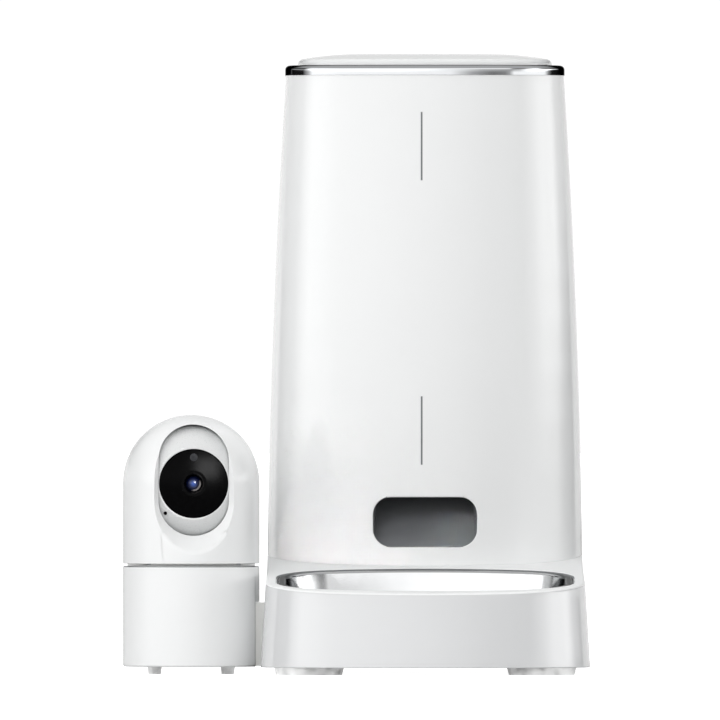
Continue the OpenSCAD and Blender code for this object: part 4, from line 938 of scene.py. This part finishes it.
class FEEDER_OT_tower(bpy.types.Operator):
    """Tower shell with its two printed lines"""

    bl_idname = "feeder.tower"
    bl_label = "Tower"

    def execute(self, context):
        m = moulding()
        tower = merged("tower_shell")
        ends = set()
        for face in tower.faces:
            inside = TOWER_INSIDE[0] * MM < face.calc_center_median().z < TOWER_INSIDE[1] * MM
            if abs(face.normal.z) > LEVEL_RISE and not inside:
                ends.update(face.verts)
        for vert in ends:
            vert.co.z += math.copysign(m.seam, vert.co.z - TOWER_MIDDLE * MM)
        round_run(tower, front_of("tower_shell", OUTLET_EDGE), m.shell_edge)
        shell = moulded("tower_shell", tower, white_gloss())
        light_only("Tower fill", [shell])
        ink = screen_ink("Screen ink, grey", finish().print_ink)
        solid = NODES["tower_shell"].data
        surface = BVHTree.FromPolygons([v.co for v in solid.vertices], [p.vertices for p in solid.polygons])
        for name, height in (("printed_line_upper", m.upper_line), ("printed_line_lower", m.lower_line)):
            self.printed_line(name, height, surface, ink)
        return {"FINISHED"}

    def printed_line(self, name, height, surface, ink):
        """A strip of ink that lies on the tower's front."""
        m = moulding()
        bm = bmesh.new()
        bmesh.ops.create_grid(bm, x_segments=2, y_segments=24, size=0.5)
        bmesh.ops.scale(bm, verts=bm.verts, vec=(m.line_width, m.line_length, 1))
        bmesh.ops.rotate(bm, verts=bm.verts, matrix=Matrix.Rotation(math.radians(90), 3, "X"))
        bmesh.ops.translate(bm, verts=bm.verts, vec=(m.line_x, CAD_BOX[0].y, height))
        for vert in bm.verts:
            hit = surface.ray_cast(vert.co, Vector((0, 1, 0)))[0]
            if hit is None:
                raise RuntimeError("a printed line misses the tower")
            vert.co = hit
        bmesh.ops.recalc_face_normals(bm, faces=bm.faces)
        bmesh.ops.translate(bm, verts=bm.verts, vec=(0, -m.ink, 0))
        bmesh.ops.solidify(bm, geom=bm.faces, thickness=m.ink)
        new_piece(name, bm, ink, "feeder")


class FEEDER_OT_lid(bpy.types.Operator):
    """Lid with its polished ring, seal and desiccant cup"""

    bl_idname = "feeder.lid"
    bl_label = "Lid"

    def execute(self, context):
        moulded("lid_cover", merged("lid_cover"), white_gloss())
        chrome = chrome_plate("Chrome plate on ABS", finish().chrome)
        moulded("lid_trim_ring", merged("lid_trim_ring"), chrome)
        dress(inner_white(), "lid_liner", "desiccant_cup")
        dress(silicone(), "lid_seal")
        dress(grey_satin(), "desiccant_cap")
        return {"FINISHED"}


class FEEDER_OT_dispenser(bpy.types.Operator):
    """Hopper, rotor, chute and the drive under them"""

    bl_idname = "feeder.dispenser"
    bl_label = "Dispenser and drive"

    def execute(self, context):
        dress(inner_white(), "rotor_housing", "hopper_funnel")
        dress(grey_satin(), "outlet_chute", "feed_rotor", "stirrer", "portion_guard")
        light_only("Outlet fill", [NODES["outlet_chute"]])
        dress(silicone(), "rotor_wipers")
        dress(zinc_plate(), "rotor_shaft", "motor_screws", "motor_pinion")
        dress(satin_moulding("Acetal, natural", finish().acetal, rough=0.3), "shaft_bush", "drive_gear")
        dress(nickel_plate(), "gear_motor")
        dress(black_satin(), "motor_bracket")
        return {"FINISHED"}


class FEEDER_OT_camera_body(bpy.types.Operator):
    """Camera base, dock and turning head"""

    bl_idname = "feeder.camera_body"
    bl_label = "Camera body"

    def execute(self, context):
        m = moulding()
        shell = gloss_abs("ABS, white semi-gloss", finish().camera, rough=0.27, coat=0.3)
        head = merged("head_front_shell")
        round_run(head, front_of("head_front_shell", SCOOP_EDGE), m.rim_edge, SCOOP_TURN)
        round_run(head, front_of("head_front_shell"), m.small_edge, SQUARE_TURN)
        moulded("head_front_shell", head, shell)
        stand = merged("camera_base_shell")
        for face in stand.faces:
            top = face.normal.z > SEAM_RISE and face.calc_center_median().z > CAMERA_SEAM * MM
            face.material_index = int(top)
        moulded("camera_base_shell", stand, shell, grey_satin())
        moulded("head_rear_shell", merged("head_rear_shell"), shell)
        dress(inner_white(), "camera_base_plate", "head_turntable", "dock_bracket")
        dress(clear_foot(), "camera_feet")
        dress(zinc_plate(), "camera_base_screws", "head_screws", "dock_screws")
        dress(zinc_plate(), "pan_shaft", "tilt_shaft", "tilt_pivot_pin")
        dress(nickel_plate(), "pan_motor", "camera_socket", "tilt_motor")
        dress(green_board(), "camera_board", "sensor_board")
        dress(black_satin(), "speaker", "reset_button")
        return {"FINISHED"}


class FEEDER_OT_camera_eye(bpy.types.Operator):
    """Tilting eye with its black face and lens"""

    bl_idname = "feeder.camera_eye"
    bl_label = "Camera eye"

    def execute(self, context):
        f = finish()
        self.shells()
        acrylic = black_acrylic("Acrylic, black gloss", f.face)
        face = merged("face_cover")
        round_run(face, front_of("face_cover"), moulding().small_edge)
        cover = moulded("face_cover", face, acrylic)
        dress(acrylic, "lens_barrel")
        lens = self.lens()
        dress(black_acrylic("Acrylic, smoked", f.smoke), "sensor_window")
        nodes = [NODES[node] for node in ("face_cover", "lens_barrel", "lens_glass", "sensor_window")]
        light_only("Glint softbox", [cover, lens, *nodes])
        return {"FINISHED"}

    def shells(self):
        """The eye's two halves, the front one with a glossier rim round the face, made whiter as a painted
        highlight.
        """
        f = finish()
        shell = satin_moulding("ABS, white satin", f.eye, rough=0.25, grain_mm=0.8, depth_mm=0.01)
        eye = merged("eye_front_shell")
        low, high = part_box("face_cover")
        middle, reach = (low + high) / 2, (high - low).z / 2
        rim = set()
        for vert in eye.verts:
            out = math.hypot(vert.co.x - middle.x, vert.co.z - middle.z)
            if vert.co.y < middle.y and reach - RIM_OVERLAP * MM < out < reach + moulding().rim_edge:
                rim.add(vert)
        for face in eye.faces:
            face.material_index = int(rim.issuperset(face.verts))
        # Painted highlight: the rim round the face takes the paler camera white, standing in for the light
        # its edge catches.
        rim_highlight = gloss_abs("ABS, white eye rim, painted highlight", f.camera, rough=0.2, coat=0.4)
        moulded("eye_front_shell", eye, shell, rim_highlight)
        moulded("eye_rear_shell", merged("eye_rear_shell"), shell)

    def lens(self):
        """The lens, as a dome spun about the eye's axis."""
        low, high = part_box("lens_glass")
        middle, radius = (low + high) / 2, (high - low).z / 2
        joints = frame["record"]["behaviour"]["joints"]
        tilt = next(joint["axis"] for joint in joints if joint["name"] == "camera_tilt")
        axis = Vector(tilt).cross((0, 0, 1)).normalized()
        bulge = radius * LENS_BULGE
        front = middle + axis * (middle.y - low.y - LENS_SINK * MM)
        steps = [math.asin(radius / bulge) * i / LENS_STEPS for i in range(LENS_STEPS + 1)]
        bm = bmesh.new()
        line = []
        for step in steps:
            up = Vector((0, 0, bulge * math.sin(step)))
            line.append(bm.verts.new(front - axis * bulge * (1 - math.cos(step)) + up))
        line.append(bm.verts.new(line[-1].co - axis * LENS_WALL * MM))
        line.append(bm.verts.new(front - axis * (bulge * (1 - math.cos(steps[-1])) + LENS_WALL * MM)))
        edges = [bm.edges.new(pair) for pair in zip(line, line[1:])]
        bmesh.ops.spin(
            bm, geom=line + edges, axis=axis, cent=middle, angle=math.radians(360), steps=LENS_TURNS,
            use_merge=True,
        )
        bmesh.ops.remove_doubles(bm, verts=bm.verts, dist=0.001 * MM)
        bmesh.ops.recalc_face_normals(bm, faces=bm.faces)
        for face in bm.faces:
            face.smooth = True
        return moulded("lens_glass", bm, coated_glass("Optical glass, coated", middle, radius))


PIECE_OPERATORS = (
    FEEDER_OT_base,
    FEEDER_OT_tower,
    FEEDER_OT_lid,
    FEEDER_OT_dispenser,
    FEEDER_OT_camera_body,
    FEEDER_OT_camera_eye,
)


class FEEDER_PT_pieces(bpy.types.Panel):
    """Lists the stage and the pieces"""

    bl_idname = "FEEDER_PT_pieces"
    bl_label = "Pet feeder"
    bl_space_type = "VIEW_3D"
    bl_region_type = "UI"
    bl_category = "Feeder"

    def draw(self, context):
        column = self.layout.column()
        for operator in (FEEDER_OT_stage, *PIECE_OPERATORS):
            column.operator(operator.bl_idname)
        for name in SETTINGS:
            group = getattr(context.scene, name)
            for prop in group.__annotations__:
                column.prop(group, prop)


CLASSES = (*SETTINGS.values(), FEEDER_OT_stage, *PIECE_OPERATORS, FEEDER_PT_pieces)


def register():
    for cls in CLASSES:
        bpy.utils.register_class(cls)
    for name, cls in SETTINGS.items():
        setattr(bpy.types.Scene, name, PointerProperty(type=cls))


def unregister():
    for name in SETTINGS:
        delattr(bpy.types.Scene, name)
    for cls in reversed(CLASSES):
        bpy.utils.unregister_class(cls)


def main():
    register()
    bpy.ops.feeder.stage()
    bpy.ops.feeder.base()
    bpy.ops.feeder.tower()
    bpy.ops.feeder.lid()
    bpy.ops.feeder.dispenser()
    bpy.ops.feeder.camera_body()
    bpy.ops.feeder.camera_eye()


if __name__ == "__main__":
    main()
